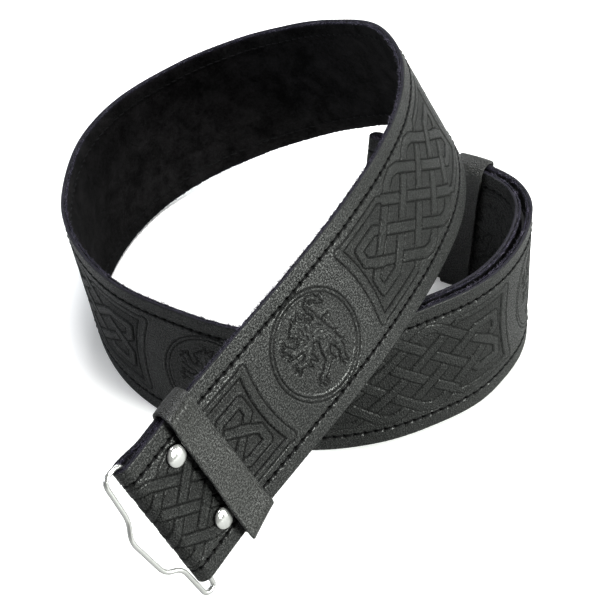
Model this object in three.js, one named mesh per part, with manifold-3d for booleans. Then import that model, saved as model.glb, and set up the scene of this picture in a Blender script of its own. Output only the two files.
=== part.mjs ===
import * as THREE from 'three';
import { mergeVertices } from 'three/addons/utils/BufferGeometryUtils.js';
import Module from 'manifold-3d';

const wasm = await Module();
wasm.setup();

// Belt sizes, in millimetres
const BELT_WIDTH = 57;
const LEATHER_WALL = 1.4;
const LINING_WALL = 1.0;
const LAYER_GAP = 0.2;
const EDGE_BEVEL = 0.35;
const LINING_TRIM = 0.3;

// How far the coil spreads on the surface that it stands on
const COIL_WIDTH = 190;
const COIL_DEPTH = 260;

// Folded ends
const TAB_LENGTH = 31;
const TAB_SQUEEZE = 0.5;
const TAIL_LENGTH = 172;
const TAIL_GAP = 2.2;

// Wire loop in the fold of the front strap
const WIRE_DIAMETER = 1.8;
const WIRE_CLEARANCE = 0.4;
const LOOP_UPPER_GAP = 0.5;
const LOOP_LOWER_GAP = 5;
const LOOP_CORNER = 3.6;
const LOOP_REACH = 14;

// Corners of the wire loop. across is a share of its half width on that side and reach a share of
// LOOP_REACH, from the bar in the fold.
const LOOP_CORNERS = [
  { across: -1, reach: 0 },
  { across: -1, reach: 0.35 },
  { across: -0.53, reach: 0.42 },
  { across: -0.41, reach: 0.84 },
  { across: 0.2, reach: 1 },
  { across: 0.39, reach: 0.71 },
  { across: 1, reach: 0.6 },
  { across: 1, reach: 0 },
];

// Press studs through the tab
const STUD_CAP_DIAMETER = 8;
const STUD_CAP_HEIGHT = 1.5;
const STUD_BACK_DIAMETER = 6.5;
const STUD_BACK_HEIGHT = 0.9;
const STUD_SHANK_DIAMETER = 2.6;
const STUD_HOLE_CLEARANCE = 0.3;
const STUD_SEAT_GAP = 0.4;
const STUD_ALONG = 16;
const STUD_SPACING = 32.4;

// Leather keepers
const KEEPER_WIDTH = 13;
const KEEPER_WALL = 1.5;
const KEEPER_SLACK = 0.5;
const KEEPER_CORNER = 0.8;
const KEEPER_FRONT_ALONG = 27.4;
const KEEPER_BACK_FROM_END = 43;

// Pad that holds the folded tail to the wall
const PAD_WIDTH = 44;
const PAD_LENGTH = 120;
const PAD_INSET = 10;
const PAD_GAP = 0.5;

// Facets
const RUN_STEP = 5.5;
const FOLD_STEPS = 8;
const WIRE_SIDES = 8;
const WIRE_STEP = 2.6;
const STUD_SIDES = 16;
const HOLE_SIDES = 16;
const KEEPER_STEPS = 3;
const CORNER_STEPS = 3;
const FRAME_STEP = 0.02;

// Route of the middle of the belt, from the wire end to the folded end.
// x is a share of COIL_WIDTH and y of COIL_DEPTH. foot is the height of the lower edge as a share of
// BELT_WIDTH. onKeeper is the share of the back keeper's lower wall that the belt stands on.
// lean turns the width about the route, in degrees, 0 for a wall that stands upright.
const ROUTE = [
  { x: -0.235, y: -0.634, foot: 0.464, onKeeper: 0, lean: -25 },
  { x: -0.156, y: -0.552, foot: 0.562, onKeeper: 0, lean: -25 },
  { x: -0.057, y: -0.464, foot: 0.705, onKeeper: 0, lean: -25 },
  { x: 0.043, y: -0.377, foot: 0.860, onKeeper: 0, lean: -25.5 },
  { x: 0.135, y: -0.284, foot: 0.997, onKeeper: 0, lean: -26 },
  { x: 0.213, y: -0.180, foot: 1.083, onKeeper: 0, lean: -27 },
  { x: 0.266, y: -0.066, foot: 1.116, onKeeper: 0, lean: -28 },
  { x: 0.277, y: 0.047, foot: 1.110, onKeeper: 0, lean: -27 },
  { x: 0.240, y: 0.157, foot: 1.012, onKeeper: 0, lean: -24 },
  { x: 0.158, y: 0.252, foot: 0.752, onKeeper: 0, lean: -17 },
  { x: 0.040, y: 0.321, foot: 0.462, onKeeper: 0, lean: -5 },
  { x: -0.098, y: 0.350, foot: 0.222, onKeeper: 0, lean: 8 },
  { x: -0.238, y: 0.333, foot: 0.062, onKeeper: 0, lean: 17 },
  { x: -0.356, y: 0.264, foot: 0.012, onKeeper: 0, lean: 20 },
  { x: -0.430, y: 0.172, foot: 0.002, onKeeper: 0, lean: 18 },
  { x: -0.466, y: 0.070, foot: 0, onKeeper: 0, lean: 13 },
  { x: -0.470, y: -0.028, foot: 0, onKeeper: 0, lean: 9 },
  { x: -0.433, y: -0.113, foot: 0, onKeeper: 0, lean: 6 },
  { x: -0.364, y: -0.190, foot: 0, onKeeper: 0, lean: 2 },
  { x: -0.260, y: -0.252, foot: 0, onKeeper: 0, lean: -3 },
  { x: -0.129, y: -0.299, foot: 0, onKeeper: 0, lean: -5 },
  { x: 0.022, y: -0.315, foot: 0, onKeeper: 0.15, lean: -6.5 },
  { x: 0.163, y: -0.299, foot: 0, onKeeper: 0.35, lean: -8 },
  { x: 0.280, y: -0.260, foot: 0, onKeeper: 0.5, lean: -9 },
  { x: 0.356, y: -0.225, foot: 0, onKeeper: 0.55, lean: -8 },
  { x: 0.413, y: -0.182, foot: 0, onKeeper: 0.6, lean: -6 },
  { x: 0.457, y: -0.131, foot: 0, onKeeper: 0.65, lean: -5 },
  { x: 0.482, y: -0.075, foot: 0, onKeeper: 0.7, lean: -3 },
  { x: 0.484, y: -0.024, foot: 0, onKeeper: 0.8, lean: 0 },
  { x: 0.459, y: 0.018, foot: 0, onKeeper: 0.9, lean: 3 },
  { x: 0.408, y: 0.047, foot: 0, onKeeper: 1, lean: 7 },
  { x: 0.347, y: 0.070, foot: 0, onKeeper: 1, lean: 9 },
  { x: 0.285, y: 0.092, foot: 0, onKeeper: 1, lean: 9 },
  { x: 0.225, y: 0.115, foot: 0, onKeeper: 1, lean: 9 },
  { x: 0.171, y: 0.136, foot: 0, onKeeper: 1, lean: 9 },
];

const BELT_WALL = LEATHER_WALL + LAYER_GAP + LINING_WALL;
const LEATHER_OUT = BELT_WALL / 2 - LEATHER_WALL / 2;
const LINING_OUT = -BELT_WALL / 2 + LINING_WALL / 2;
const FOLD_GAP = WIRE_DIAMETER + 2 * WIRE_CLEARANCE;
const KEEPER_LIFT = KEEPER_WALL + KEEPER_SLACK;

// Route and its frames

function footPoint(row) {
  const height = row.foot * BELT_WIDTH + row.onKeeper * KEEPER_LIFT;
  return new THREE.Vector3(row.x * COIL_WIDTH, row.y * COIL_DEPTH, height);
}

const routeCurve = new THREE.CatmullRomCurve3(ROUTE.map(footPoint), false, 'centripetal');
routeCurve.arcLengthDivisions = 1500;
const leanCurve = new THREE.SplineCurve(ROUTE.map((row, index) => new THREE.Vector2(index, row.lean)));
const ROUTE_LENGTH = routeCurve.getLength();

function leanAt(share) {
  return THREE.MathUtils.degToRad(leanCurve.getPoint(share).y);
}

// The middle of the belt's width, above the lower edge by half the height of the leaning wall
function middleAt(share) {
  const lean = leanAt(share);
  const halfHeight = (BELT_WIDTH / 2) * Math.cos(lean) + (BELT_WALL / 2) * Math.abs(Math.sin(lean));
  const middle = routeCurve.getPoint(share);
  middle.z += halfHeight;
  return middle;
}

function frameAt(along) {
  const share = routeCurve.getUtoTmapping(along / ROUTE_LENGTH);
  const middle = middleAt(share);
  const before = middleAt(Math.max(share - FRAME_STEP / ROUTE.length, 0));
  const after = middleAt(Math.min(share + FRAME_STEP / ROUTE.length, 1));
  const ahead = after.sub(before).normalize();
  const lean = leanAt(share);
  const level = new THREE.Vector3(0, 0, 1).addScaledVector(ahead, -ahead.z).normalize();
  const upward = level.applyAxisAngle(ahead, lean);
  const outward = ahead.clone().cross(upward);
  return { middle, ahead, upward, outward };
}

// A place given along the route, out of the belt's middle wall and across its width
function place(along, out, across) {
  const onRoute = THREE.MathUtils.clamp(along, 0, ROUTE_LENGTH);
  const frame = frameAt(onRoute);
  return frame.middle
    .addScaledVector(frame.ahead, along - onRoute)
    .addScaledVector(frame.outward, out)
    .addScaledVector(frame.upward, across);
}

// Meshes from rings of points. Both faces of a strip are split along the same diagonals, and a strip
// that runs back along the route along the other ones, so that the layers of a twisted stretch
// stay parallel.

function loft(rings, closed, runsBack = () => false) {
  const sides = rings[0].length;
  const positions = [];
  const faces = [];
  rings.flat().forEach((point) => positions.push(point.x, point.y, point.z));
  const spans = closed ? rings.length : rings.length - 1;
  for (let ring = 0; ring < spans; ring += 1) {
    const here = ring * sides;
    const next = ((ring + 1) % rings.length) * sides;
    for (let side = 0; side < sides; side += 1) {
      const following = (side + 1) % sides;
      if (side < sides / 2 === runsBack(ring)) {
        faces.push(here + side, here + following, next + following);
        faces.push(here + side, next + following, next + side);
      } else {
        faces.push(here + side, here + following, next + side);
        faces.push(here + following, next + following, next + side);
      }
    }
  }
  if (!closed) {
    const last = (rings.length - 1) * sides;
    for (let side = 1; side < sides - 1; side += 1) {
      faces.push(0, side + 1, side);
      faces.push(last, last + side, last + side + 1);
    }
  }
  return outwardGeometry(positions, faces);
}

function outwardGeometry(positions, faces) {
  const corner = (index) => new THREE.Vector3().fromArray(positions, 3 * index);
  let volume = 0;
  for (let face = 0; face < faces.length; face += 3) {
    const [first, second, third] = [corner(faces[face]), corner(faces[face + 1]), corner(faces[face + 2])];
    volume += first.dot(second.cross(third));
  }
  const turned = volume < 0 ? faces.slice().reverse() : faces;
  const geometry = new THREE.BufferGeometry();
  geometry.setAttribute('position', new THREE.Float32BufferAttribute(positions, 3));
  geometry.setIndex(turned);
  return geometry;
}

// Cross-section of a flat strip at one point of its route
function stripRing(point, wall, width) {
  const halfWall = wall / 2;
  const halfWidth = width / 2;
  const bevel = Math.min(EDGE_BEVEL, halfWall * 0.6);
  const corners = [
    [halfWidth - bevel, halfWall],
    [halfWidth, halfWall - bevel],
    [halfWidth, bevel - halfWall],
    [halfWidth - bevel, -halfWall],
    [bevel - halfWidth, -halfWall],
    [-halfWidth, bevel - halfWall],
    [-halfWidth, halfWall - bevel],
    [bevel - halfWidth, halfWall],
  ];
  return corners.map(([across, depth]) => place(
    point.along + point.turnAlong * depth,
    point.out + point.turnOut * depth,
    across,
  ));
}

function stripLoft(points, wall, width) {
  const rings = points.map((point) => stripRing(point, wall, width));
  return loft(rings, false, (ring) => points[ring + 1].along < points[ring].along);
}

// Points along a straight stretch of a strip, at a distance from the belt's middle wall
function run(from, to, outAt, facing) {
  const steps = Math.max(2, Math.round(Math.abs(to - from) / RUN_STEP));
  return Array.from({ length: steps + 1 }, (_, step) => {
    const along = from + ((to - from) * step) / steps;
    return { along, out: outAt(along), turnAlong: 0, turnOut: facing };
  });
}

// Points round a fold, between two stretches
function fold(along, centre, radius, direction) {
  return Array.from({ length: FOLD_STEPS - 1 }, (_, step) => {
    const angle = (Math.PI * (step + 1)) / FOLD_STEPS;
    return {
      along: along + direction * radius * Math.sin(angle),
      out: centre + radius * Math.cos(angle),
      turnAlong: direction * Math.sin(angle),
      turnOut: Math.cos(angle),
    };
  });
}

const TAB_CENTRE = -BELT_WALL / 2 - FOLD_GAP / 2;
const TAIL_CENTRE = -BELT_WALL / 2 - TAIL_GAP / 2;
const TAIL_START = ROUTE_LENGTH;

// The tab closes from the wire's gap to a tight squeeze at its end
function tabDrop(along) {
  const share = THREE.MathUtils.smoothstep(along, 0, STUD_ALONG - STUD_CAP_DIAMETER / 2);
  return share * (FOLD_GAP - TAB_SQUEEZE);
}

// One layer of the belt: tab, fold, main run, fold and tail
function layerRoute(layerOut, tabLength, tailLength) {
  const inTab = 2 * TAB_CENTRE - layerOut;
  const inTail = 2 * TAIL_CENTRE - layerOut;
  return [
    ...run(tabLength, 0, (along) => inTab + tabDrop(along), -1),
    ...fold(0, TAB_CENTRE, layerOut - TAB_CENTRE, -1).reverse(),
    ...run(0, TAIL_START, () => layerOut, 1),
    ...fold(TAIL_START, TAIL_CENTRE, layerOut - TAIL_CENTRE, 1),
    ...run(TAIL_START, TAIL_START - tailLength, () => inTail, -1),
  ];
}

function layerGeometry(layerOut, wall, width) {
  const points = layerRoute(layerOut, TAB_LENGTH, TAIL_LENGTH);
  return stripLoft(points, wall, width);
}

// Cuts with the solid library

function toSolid(geometry) {
  const bare = geometry.clone();
  bare.deleteAttribute('normal');
  bare.deleteAttribute('uv');
  const merged = mergeVertices(bare);
  return new wasm.Manifold(new wasm.Mesh({
    numProp: 3,
    vertProperties: new Float32Array(merged.attributes.position.array),
    triVerts: new Uint32Array(merged.index.array),
  }));
}

function toGeometry(solid) {
  const mesh = solid.getMesh();
  const geometry = new THREE.BufferGeometry();
  geometry.setAttribute('position', new THREE.BufferAttribute(mesh.vertProperties, 3));
  geometry.setIndex(new THREE.BufferAttribute(mesh.triVerts, 1));
  return geometry;
}

const STUD_PLACES = [
  { name: 'press_stud_upper', across: STUD_SPACING / 2 },
  { name: 'press_stud_lower', across: -STUD_SPACING / 2 },
];
const TAB_STACK = 2 * BELT_WALL + TAB_SQUEEZE;

// A frame whose Y axis points out of the strap at a stud
function studMatrix(across) {
  const frame = frameAt(STUD_ALONG);
  const origin = place(STUD_ALONG, BELT_WALL / 2 - TAB_STACK / 2, across);
  const matrix = new THREE.Matrix4().makeBasis(frame.upward, frame.outward, frame.ahead);
  return matrix.setPosition(origin);
}

function pierced(geometry) {
  const holeRadius = STUD_SHANK_DIAMETER / 2 + STUD_HOLE_CLEARANCE;
  return toGeometry(STUD_PLACES.reduce((solid, { across }) => {
    const hole = new THREE.CylinderGeometry(holeRadius, holeRadius, 2 * TAB_STACK, HOLE_SIDES);
    hole.applyMatrix4(studMatrix(across));
    return solid.subtract(toSolid(hole));
  }, toSolid(geometry)));
}

// Pieces

const finishes = {
  leather: { color: 0x26272a, roughness: 0.42, metalness: 0 },
  suede: { color: 0x141417, roughness: 0.95, metalness: 0 },
  keeperLeather: { color: 0x2b2c2d, roughness: 0.38, metalness: 0 },
  nickel: { color: 0xd6d8da, roughness: 0.16, metalness: 1 },
  pad: { color: 0x101012, roughness: 0.9, metalness: 0 },
};

function named(name, geometry, finish) {
  const mesh = new THREE.Mesh(geometry, new THREE.MeshStandardMaterial(finish));
  mesh.name = name;
  return mesh;
}

function makeStrap() {
  const geometry = layerGeometry(LEATHER_OUT, LEATHER_WALL, BELT_WIDTH);
  return named('strap', pierced(geometry), finishes.leather);
}

function makeLining() {
  const geometry = layerGeometry(LINING_OUT, LINING_WALL, BELT_WIDTH - 2 * LINING_TRIM);
  return named('lining', pierced(geometry), finishes.suede);
}

// Points of a rounded rectangle that spans the wall's depth and the belt's width
function bandOutline(innerFace, outerFace, halfWidth, radius) {
  const corners = [
    { out: outerFace - radius, across: halfWidth - radius, start: 0 },
    { out: innerFace + radius, across: halfWidth - radius, start: 1 },
    { out: innerFace + radius, across: radius - halfWidth, start: 2 },
    { out: outerFace - radius, across: radius - halfWidth, start: 3 },
  ];
  return corners.flatMap(({ out, across, start }) => (
    Array.from({ length: CORNER_STEPS + 1 }, (_, step) => {
      const angle = (Math.PI / 2) * (start + step / CORNER_STEPS);
      return { out: out + radius * Math.cos(angle), across: across + radius * Math.sin(angle) };
    })
  ));
}

function makeKeeper(name, middleAlong, innerFace) {
  const outerRadius = KEEPER_CORNER + KEEPER_WALL;
  const slackInner = innerFace - KEEPER_SLACK;
  const slackOuter = BELT_WALL / 2 + KEEPER_SLACK;
  const halfBore = BELT_WIDTH / 2 + KEEPER_SLACK;
  const bore = bandOutline(slackInner, slackOuter, halfBore, KEEPER_CORNER);
  const skin = bandOutline(
    slackInner - KEEPER_WALL,
    slackOuter + KEEPER_WALL,
    halfBore + KEEPER_WALL,
    outerRadius,
  );
  const start = middleAlong - KEEPER_WIDTH / 2;
  const stops = Array.from({ length: KEEPER_STEPS + 1 }, (_, step) => (
    start + (KEEPER_WIDTH * step) / KEEPER_STEPS
  ));
  const rings = skin.map((outer, index) => [
    ...stops.map((along) => place(along, outer.out, outer.across)),
    ...stops.slice().reverse().map((along) => place(along, bore[index].out, bore[index].across)),
  ]);
  return named(name, loft(rings, true), finishes.keeperLeather);
}

// Outline of the wire's middle line in the plane of the fold: x across the belt, y along it
function wireOutline() {
  const upper = BELT_WIDTH / 2 + LOOP_UPPER_GAP + WIRE_DIAMETER / 2;
  const lower = BELT_WIDTH / 2 + LOOP_LOWER_GAP + WIRE_DIAMETER / 2;
  const corners = LOOP_CORNERS.map(({ across, reach }) => (
    new THREE.Vector2(across * (across > 0 ? upper : lower), -reach * LOOP_REACH)
  ));
  const path = new THREE.Path();
  path.moveTo(0, 0);
  corners.forEach((corner, index) => {
    const before = corners[(index + corners.length - 1) % corners.length];
    const after = corners[(index + 1) % corners.length];
    const cut = Math.min(LOOP_CORNER, corner.distanceTo(before) / 2, corner.distanceTo(after) / 2);
    const entry = before.clone().sub(corner).setLength(cut).add(corner);
    const exit = after.clone().sub(corner).setLength(cut).add(corner);
    path.lineTo(entry.x, entry.y);
    path.quadraticCurveTo(corner.x, corner.y, exit.x, exit.y);
  });
  path.lineTo(0, 0);
  return path;
}

function makeWireLoop() {
  const path = wireOutline();
  const count = Math.round(path.getLength() / WIRE_STEP);
  const rings = Array.from({ length: count }, (_, index) => {
    const share = index / count;
    const point = path.getPointAt(share);
    const tangent = path.getTangentAt(share);
    return Array.from({ length: WIRE_SIDES }, (__, side) => {
      const angle = (2 * Math.PI * side) / WIRE_SIDES;
      const inPlane = (WIRE_DIAMETER / 2) * Math.cos(angle);
      const outOfPlane = (WIRE_DIAMETER / 2) * Math.sin(angle);
      return place(
        point.y + tangent.x * inPlane,
        TAB_CENTRE + outOfPlane,
        point.x - tangent.y * inPlane,
      );
    });
  });
  return named('wire_loop', loft(rings, true), finishes.nickel);
}

function makeStud({ name, across }) {
  const seat = TAB_STACK / 2 + STUD_SEAT_GAP;
  const capRadius = STUD_CAP_DIAMETER / 2;
  const shankRadius = STUD_SHANK_DIAMETER / 2;
  const backRadius = STUD_BACK_DIAMETER / 2;
  const profile = [
    [0, -seat - STUD_BACK_HEIGHT],
    [backRadius * 0.85, -seat - STUD_BACK_HEIGHT],
    [backRadius, -seat - STUD_BACK_HEIGHT / 2],
    [backRadius, -seat],
    [shankRadius, -seat],
    [shankRadius, seat],
    [capRadius, seat],
    [capRadius, seat + STUD_CAP_HEIGHT * 0.35],
    [capRadius * 0.86, seat + STUD_CAP_HEIGHT * 0.7],
    [capRadius * 0.5, seat + STUD_CAP_HEIGHT * 0.94],
    [0, seat + STUD_CAP_HEIGHT],
  ].map(([radius, height]) => new THREE.Vector2(radius, height));
  const stud = named(name, new THREE.LatheGeometry(profile, STUD_SIDES), finishes.nickel);
  const matrix = studMatrix(across);
  stud.position.setFromMatrixPosition(matrix);
  stud.quaternion.setFromRotationMatrix(matrix);
  return stud;
}

function makeTailPad() {
  const wall = TAIL_GAP - 2 * PAD_GAP;
  const end = TAIL_START - PAD_INSET;
  const points = run(end - PAD_LENGTH, end, () => TAIL_CENTRE, 1);
  return named('tail_pad', stripLoft(points, wall, PAD_WIDTH), finishes.pad);
}

const group = new THREE.Group();
group.add(
  makeStrap(),
  makeLining(),
  makeKeeper('keeper_front', KEEPER_FRONT_ALONG, -BELT_WALL / 2 - TAB_SQUEEZE - BELT_WALL),
  makeKeeper('keeper_back', ROUTE_LENGTH - KEEPER_BACK_FROM_END, -BELT_WALL / 2 - TAIL_GAP - BELT_WALL),
  makeWireLoop(),
  ...STUD_PLACES.map(makeStud),
  makeTailPad(),
);

// The origin is under the middle of the whole belt, on the surface that it stands on
const bounds = new THREE.Box3().setFromObject(group, true);
const middle = bounds.getCenter(new THREE.Vector3());
group.position.set(-middle.x, -middle.y, -bounds.min.z);
group.updateMatrixWorld(true);

export default group;
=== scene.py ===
import math

import bpy
import numpy as np
from mathutils import Matrix, Vector


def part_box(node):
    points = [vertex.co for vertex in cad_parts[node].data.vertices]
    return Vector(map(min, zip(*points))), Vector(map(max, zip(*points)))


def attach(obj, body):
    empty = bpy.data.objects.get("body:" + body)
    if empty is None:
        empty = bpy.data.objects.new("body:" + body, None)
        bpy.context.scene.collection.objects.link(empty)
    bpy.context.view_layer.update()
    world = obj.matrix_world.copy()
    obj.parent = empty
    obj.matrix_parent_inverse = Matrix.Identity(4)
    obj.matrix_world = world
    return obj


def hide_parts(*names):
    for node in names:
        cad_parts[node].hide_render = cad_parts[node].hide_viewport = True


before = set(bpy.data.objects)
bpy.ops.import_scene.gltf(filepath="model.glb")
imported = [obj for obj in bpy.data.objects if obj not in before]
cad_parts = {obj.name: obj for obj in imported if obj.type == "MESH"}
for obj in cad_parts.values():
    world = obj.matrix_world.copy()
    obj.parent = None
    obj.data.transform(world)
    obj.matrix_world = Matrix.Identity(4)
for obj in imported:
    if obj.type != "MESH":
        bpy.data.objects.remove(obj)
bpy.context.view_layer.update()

bl_info = {
    "name": "Embossed kilt belt",
    "version": (1, 0, 0),
    "blender": (4, 5, 0),
    "location": "View3D > Sidebar > Belt",
    "description": "Builds an embossed leather belt that stands in an open coil",
    "category": "Add Mesh",
}

MM = 0.001

# Sizes of the belt, in millimetres, as in the solids
BELT_WIDTH = 57.0
LEATHER_WALL = 1.4
LINING_WALL = 1.0
LAYER_GAP = 0.2
LINING_TRIM = 0.3
COIL_WIDTH = 190.0
COIL_DEPTH = 260.0
TAB_LENGTH = 31.0
TAB_SQUEEZE = 0.5
TAIL_LENGTH = 172.0
TAIL_GAP = 2.2
WIRE_DIAMETER = 1.8
WIRE_CLEARANCE = 0.4
LOOP_UPPER_GAP = 0.5
LOOP_LOWER_GAP = 5.0
LOOP_CORNER = 3.6
LOOP_REACH = 14.0
STUD_CAP_DIAMETER = 8.0
STUD_CAP_HEIGHT = 1.5
STUD_BACK_DIAMETER = 6.5
STUD_BACK_HEIGHT = 0.9
STUD_SHANK_DIAMETER = 2.6
STUD_SEAT_GAP = 0.4
STUD_ALONG = 16.0
STUD_SPACING = 32.4
KEEPER_WIDTH = 13.0
KEEPER_WALL = 1.5
KEEPER_SLACK = 0.5
KEEPER_FRONT_ALONG = 27.4
KEEPER_BACK_FROM_END = 43.0
PAD_WIDTH = 44.0
PAD_LENGTH = 120.0
PAD_INSET = 10.0
PAD_GAP = 0.5

BELT_WALL = LEATHER_WALL + LAYER_GAP + LINING_WALL
LEATHER_OUT = BELT_WALL / 2 - LEATHER_WALL / 2
LINING_OUT = -BELT_WALL / 2 + LINING_WALL / 2
FOLD_GAP = WIRE_DIAMETER + 2 * WIRE_CLEARANCE
KEEPER_LIFT = KEEPER_WALL + KEEPER_SLACK
TAB_CENTRE = -BELT_WALL / 2 - FOLD_GAP / 2
TAIL_CENTRE = -BELT_WALL / 2 - TAIL_GAP / 2
TAB_STACK = 2 * BELT_WALL + TAB_SQUEEZE

# Worn shape of a keeper: its rolled corners and long edges, its slack past the belt's edges, and
# how far its wire side lifts, slips along the belt and hangs past the lower edge
KEEPER_ROLL = 4.0
KEEPER_EDGE = 0.55
KEEPER_EASE = 0.5
KEEPER_SWELL = 0.8
KEEPER_REST = -0.35
FLARE_LIFT = (1.4, 1.3)
FLARE_SLIP = (1.0, 1.7)
FLARE_HANG = 2.6
TABLE_CLEARANCE = 0.0001

# Route of the belt's lower edge: share of the coil's width, share of its depth, height as a share
# of the belt's width, share of the keeper's lower wall that it stands on, and lean in degrees
ROUTE = np.array([
    (-0.235, -0.634, 0.464, 0, -25),
    (-0.156, -0.552, 0.562, 0, -25),
    (-0.057, -0.464, 0.705, 0, -25),
    (0.043, -0.377, 0.860, 0, -25.5),
    (0.135, -0.284, 0.997, 0, -26),
    (0.213, -0.180, 1.083, 0, -27),
    (0.266, -0.066, 1.116, 0, -28),
    (0.277, 0.047, 1.110, 0, -27),
    (0.240, 0.157, 1.012, 0, -24),
    (0.158, 0.252, 0.752, 0, -17),
    (0.040, 0.321, 0.462, 0, -5),
    (-0.098, 0.350, 0.222, 0, 8),
    (-0.238, 0.333, 0.062, 0, 17),
    (-0.356, 0.264, 0.012, 0, 20),
    (-0.430, 0.172, 0.002, 0, 18),
    (-0.466, 0.070, 0, 0, 13),
    (-0.470, -0.028, 0, 0, 9),
    (-0.433, -0.113, 0, 0, 6),
    (-0.364, -0.190, 0, 0, 2),
    (-0.260, -0.252, 0, 0, -3),
    (-0.129, -0.299, 0, 0, -5),
    (0.022, -0.315, 0, 0.15, -6.5),
    (0.163, -0.299, 0, 0.35, -8),
    (0.280, -0.260, 0, 0.5, -9),
    (0.356, -0.225, 0, 0.55, -8),
    (0.413, -0.182, 0, 0.6, -6),
    (0.457, -0.131, 0, 0.65, -5),
    (0.482, -0.075, 0, 0.7, -3),
    (0.484, -0.024, 0, 0.8, 0),
    (0.459, 0.018, 0, 0.9, 3),
    (0.408, 0.047, 0, 1, 7),
    (0.347, 0.070, 0, 1, 9),
    (0.285, 0.092, 0, 1, 9),
    (0.225, 0.115, 0, 1, 9),
    (0.171, 0.136, 0, 1, 9),
])

# Corners of the wire loop: share of its half width on that side, share of its reach
LOOP_CORNERS = (
    (-1, 0), (-1, 0.35), (-0.53, 0.42), (-0.41, 0.84), (0.2, 1), (0.39, 0.71), (1, 0.6), (1, 0),
)

# Places of the pressed artwork along the leather, in millimetres from the fold at the wire
MEDALLIONS = (-72.0, 82.7, 237.4, 402.5, 567.7, 722.4, 877.1, 1031.8)
PANEL_PITCH = 154.7
STITCH_LINE = 22.2

# A stitch, as shares of its pitch or in millimetres: reach, slant, sunk ends, raised middle, radius
STITCH_REACH = 0.46
STITCH_SLANT = 0.22
STITCH_SINK = 0.28
STITCH_RISE = 0.10
THREAD_RADIUS = 0.36

# Loose fibres, in millimetres, and how far from a keeper they start
FIBRE_RADIUS = 0.10
FIBRE_FREE_ALONG = 3.0
FIBRE_FREE_OUT = 12.0

# Limbs of the rampant lion in an oval, facing the wire end: x, y and half thickness at both ends
LION = (
    (3.4, 4.6, 4.1, 5.0, 0.6, 3.2), (-1.6, 5.4, 3.5, 3.4, 4.6, 4.1),
    (-3.2, 2.8, 2.9, -1.6, 5.4, 3.5), (-1.6, 5.4, 3.5, -1.4, 10.4, 3.1),
    (-1.4, 10.4, 3.1, -3.8, 11.2, 2.2), (-3.8, 11.5, 1.7, -6.4, 10.7, 0.8),
    (-4.0, 9.8, 1.2, -5.9, 8.5, 0.5), (-2.8, 13.2, 0.9, -2.4, 15.2, 0.35),
    (-0.4, 13.0, 1.0, 0.9, 15.0, 0.35), (0.9, 11.0, 1.1, 2.8, 12.4, 0.3),
    (1.3, 8.8, 1.1, 3.3, 9.9, 0.3), (-4.4, 7.0, 1.0, -5.9, 6.5, 0.3),
    (-5.0, 4.2, 1.9, -8.6, 4.5, 1.4), (-8.6, 4.5, 1.4, -10.3, 8.2, 1.3),
    (-10.3, 8.2, 0.9, -12.3, 10.1, 0.3), (-10.3, 8.2, 0.9, -12.9, 7.8, 0.3),
    (-10.3, 8.2, 0.9, -10.1, 11.2, 0.3), (-9.4, 4.2, 0.8, -12.0, 4.6, 0.3),
    (-3.6, 1.0, 2.0, -6.8, -1.5, 1.5), (-6.8, -1.5, 1.5, -9.8, -0.6, 1.3),
    (-9.8, -0.6, 0.9, -11.8, 1.4, 0.3), (-9.8, -0.6, 0.9, -12.6, -0.8, 0.3),
    (-9.8, -0.6, 0.9, -11.8, -3.2, 0.3), (-6.4, -2.2, 0.9, -6.2, -4.9, 0.3),
    (-4.2, -1.6, 1.0, -3.2, -4.6, 0.3), (4.2, -0.6, 3.2, 1.9, -4.0, 2.1),
    (1.9, -4.0, 2.1, 0.7, -8.2, 1.5), (0.7, -8.2, 1.5, -3.6, -10.8, 1.3),
    (-3.6, -10.8, 1.2, -5.8, -11.2, 1.2), (-5.8, -11.2, 0.9, -7.9, -12.8, 0.3),
    (-5.8, -11.2, 0.9, -6.4, -14.5, 0.3), (-5.2, -11.4, 0.9, -4.4, -14.7, 0.3),
    (2.0, -8.0, 0.8, 3.1, -10.2, 0.3), (6.0, -1.2, 2.8, 7.3, -5.6, 1.9),
    (7.3, -5.6, 1.8, 7.4, -9.4, 1.4), (7.4, -9.4, 1.3, 5.7, -12.2, 1.3),
    (5.7, -12.2, 0.9, 3.7, -13.4, 0.3), (5.7, -12.2, 0.9, 4.7, -15.3, 0.3),
    (6.0, -12.2, 0.9, 6.9, -15.1, 0.3), (8.0, 4.7, 0.9, 10.9, 5.2, 0.3),
    (7.6, -1.4, 1.0, 9.9, -2.5, 0.3), (8.4, -6.6, 0.9, 10.2, -7.4, 0.3),
    (5.4, 7.4, 0.9, 6.0, 9.6, 0.85), (6.0, 9.6, 0.85, 4.9, 12.2, 0.85),
    (4.9, 12.2, 0.85, 5.3, 14.9, 0.9), (5.3, 14.9, 0.9, 7.6, 16.0, 1.0),
    (7.6, 16.0, 1.0, 9.7, 14.2, 1.15), (9.7, 14.2, 1.2, 10.2, 12.2, 1.1),
    (10.2, 12.2, 1.0, 13.4, 12.8, 0.3), (10.2, 12.2, 0.9, 11.8, 10.0, 0.3),
    (7.4, 13.9, 0.5, 9.4, 13.4, 0.5),
)

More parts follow.
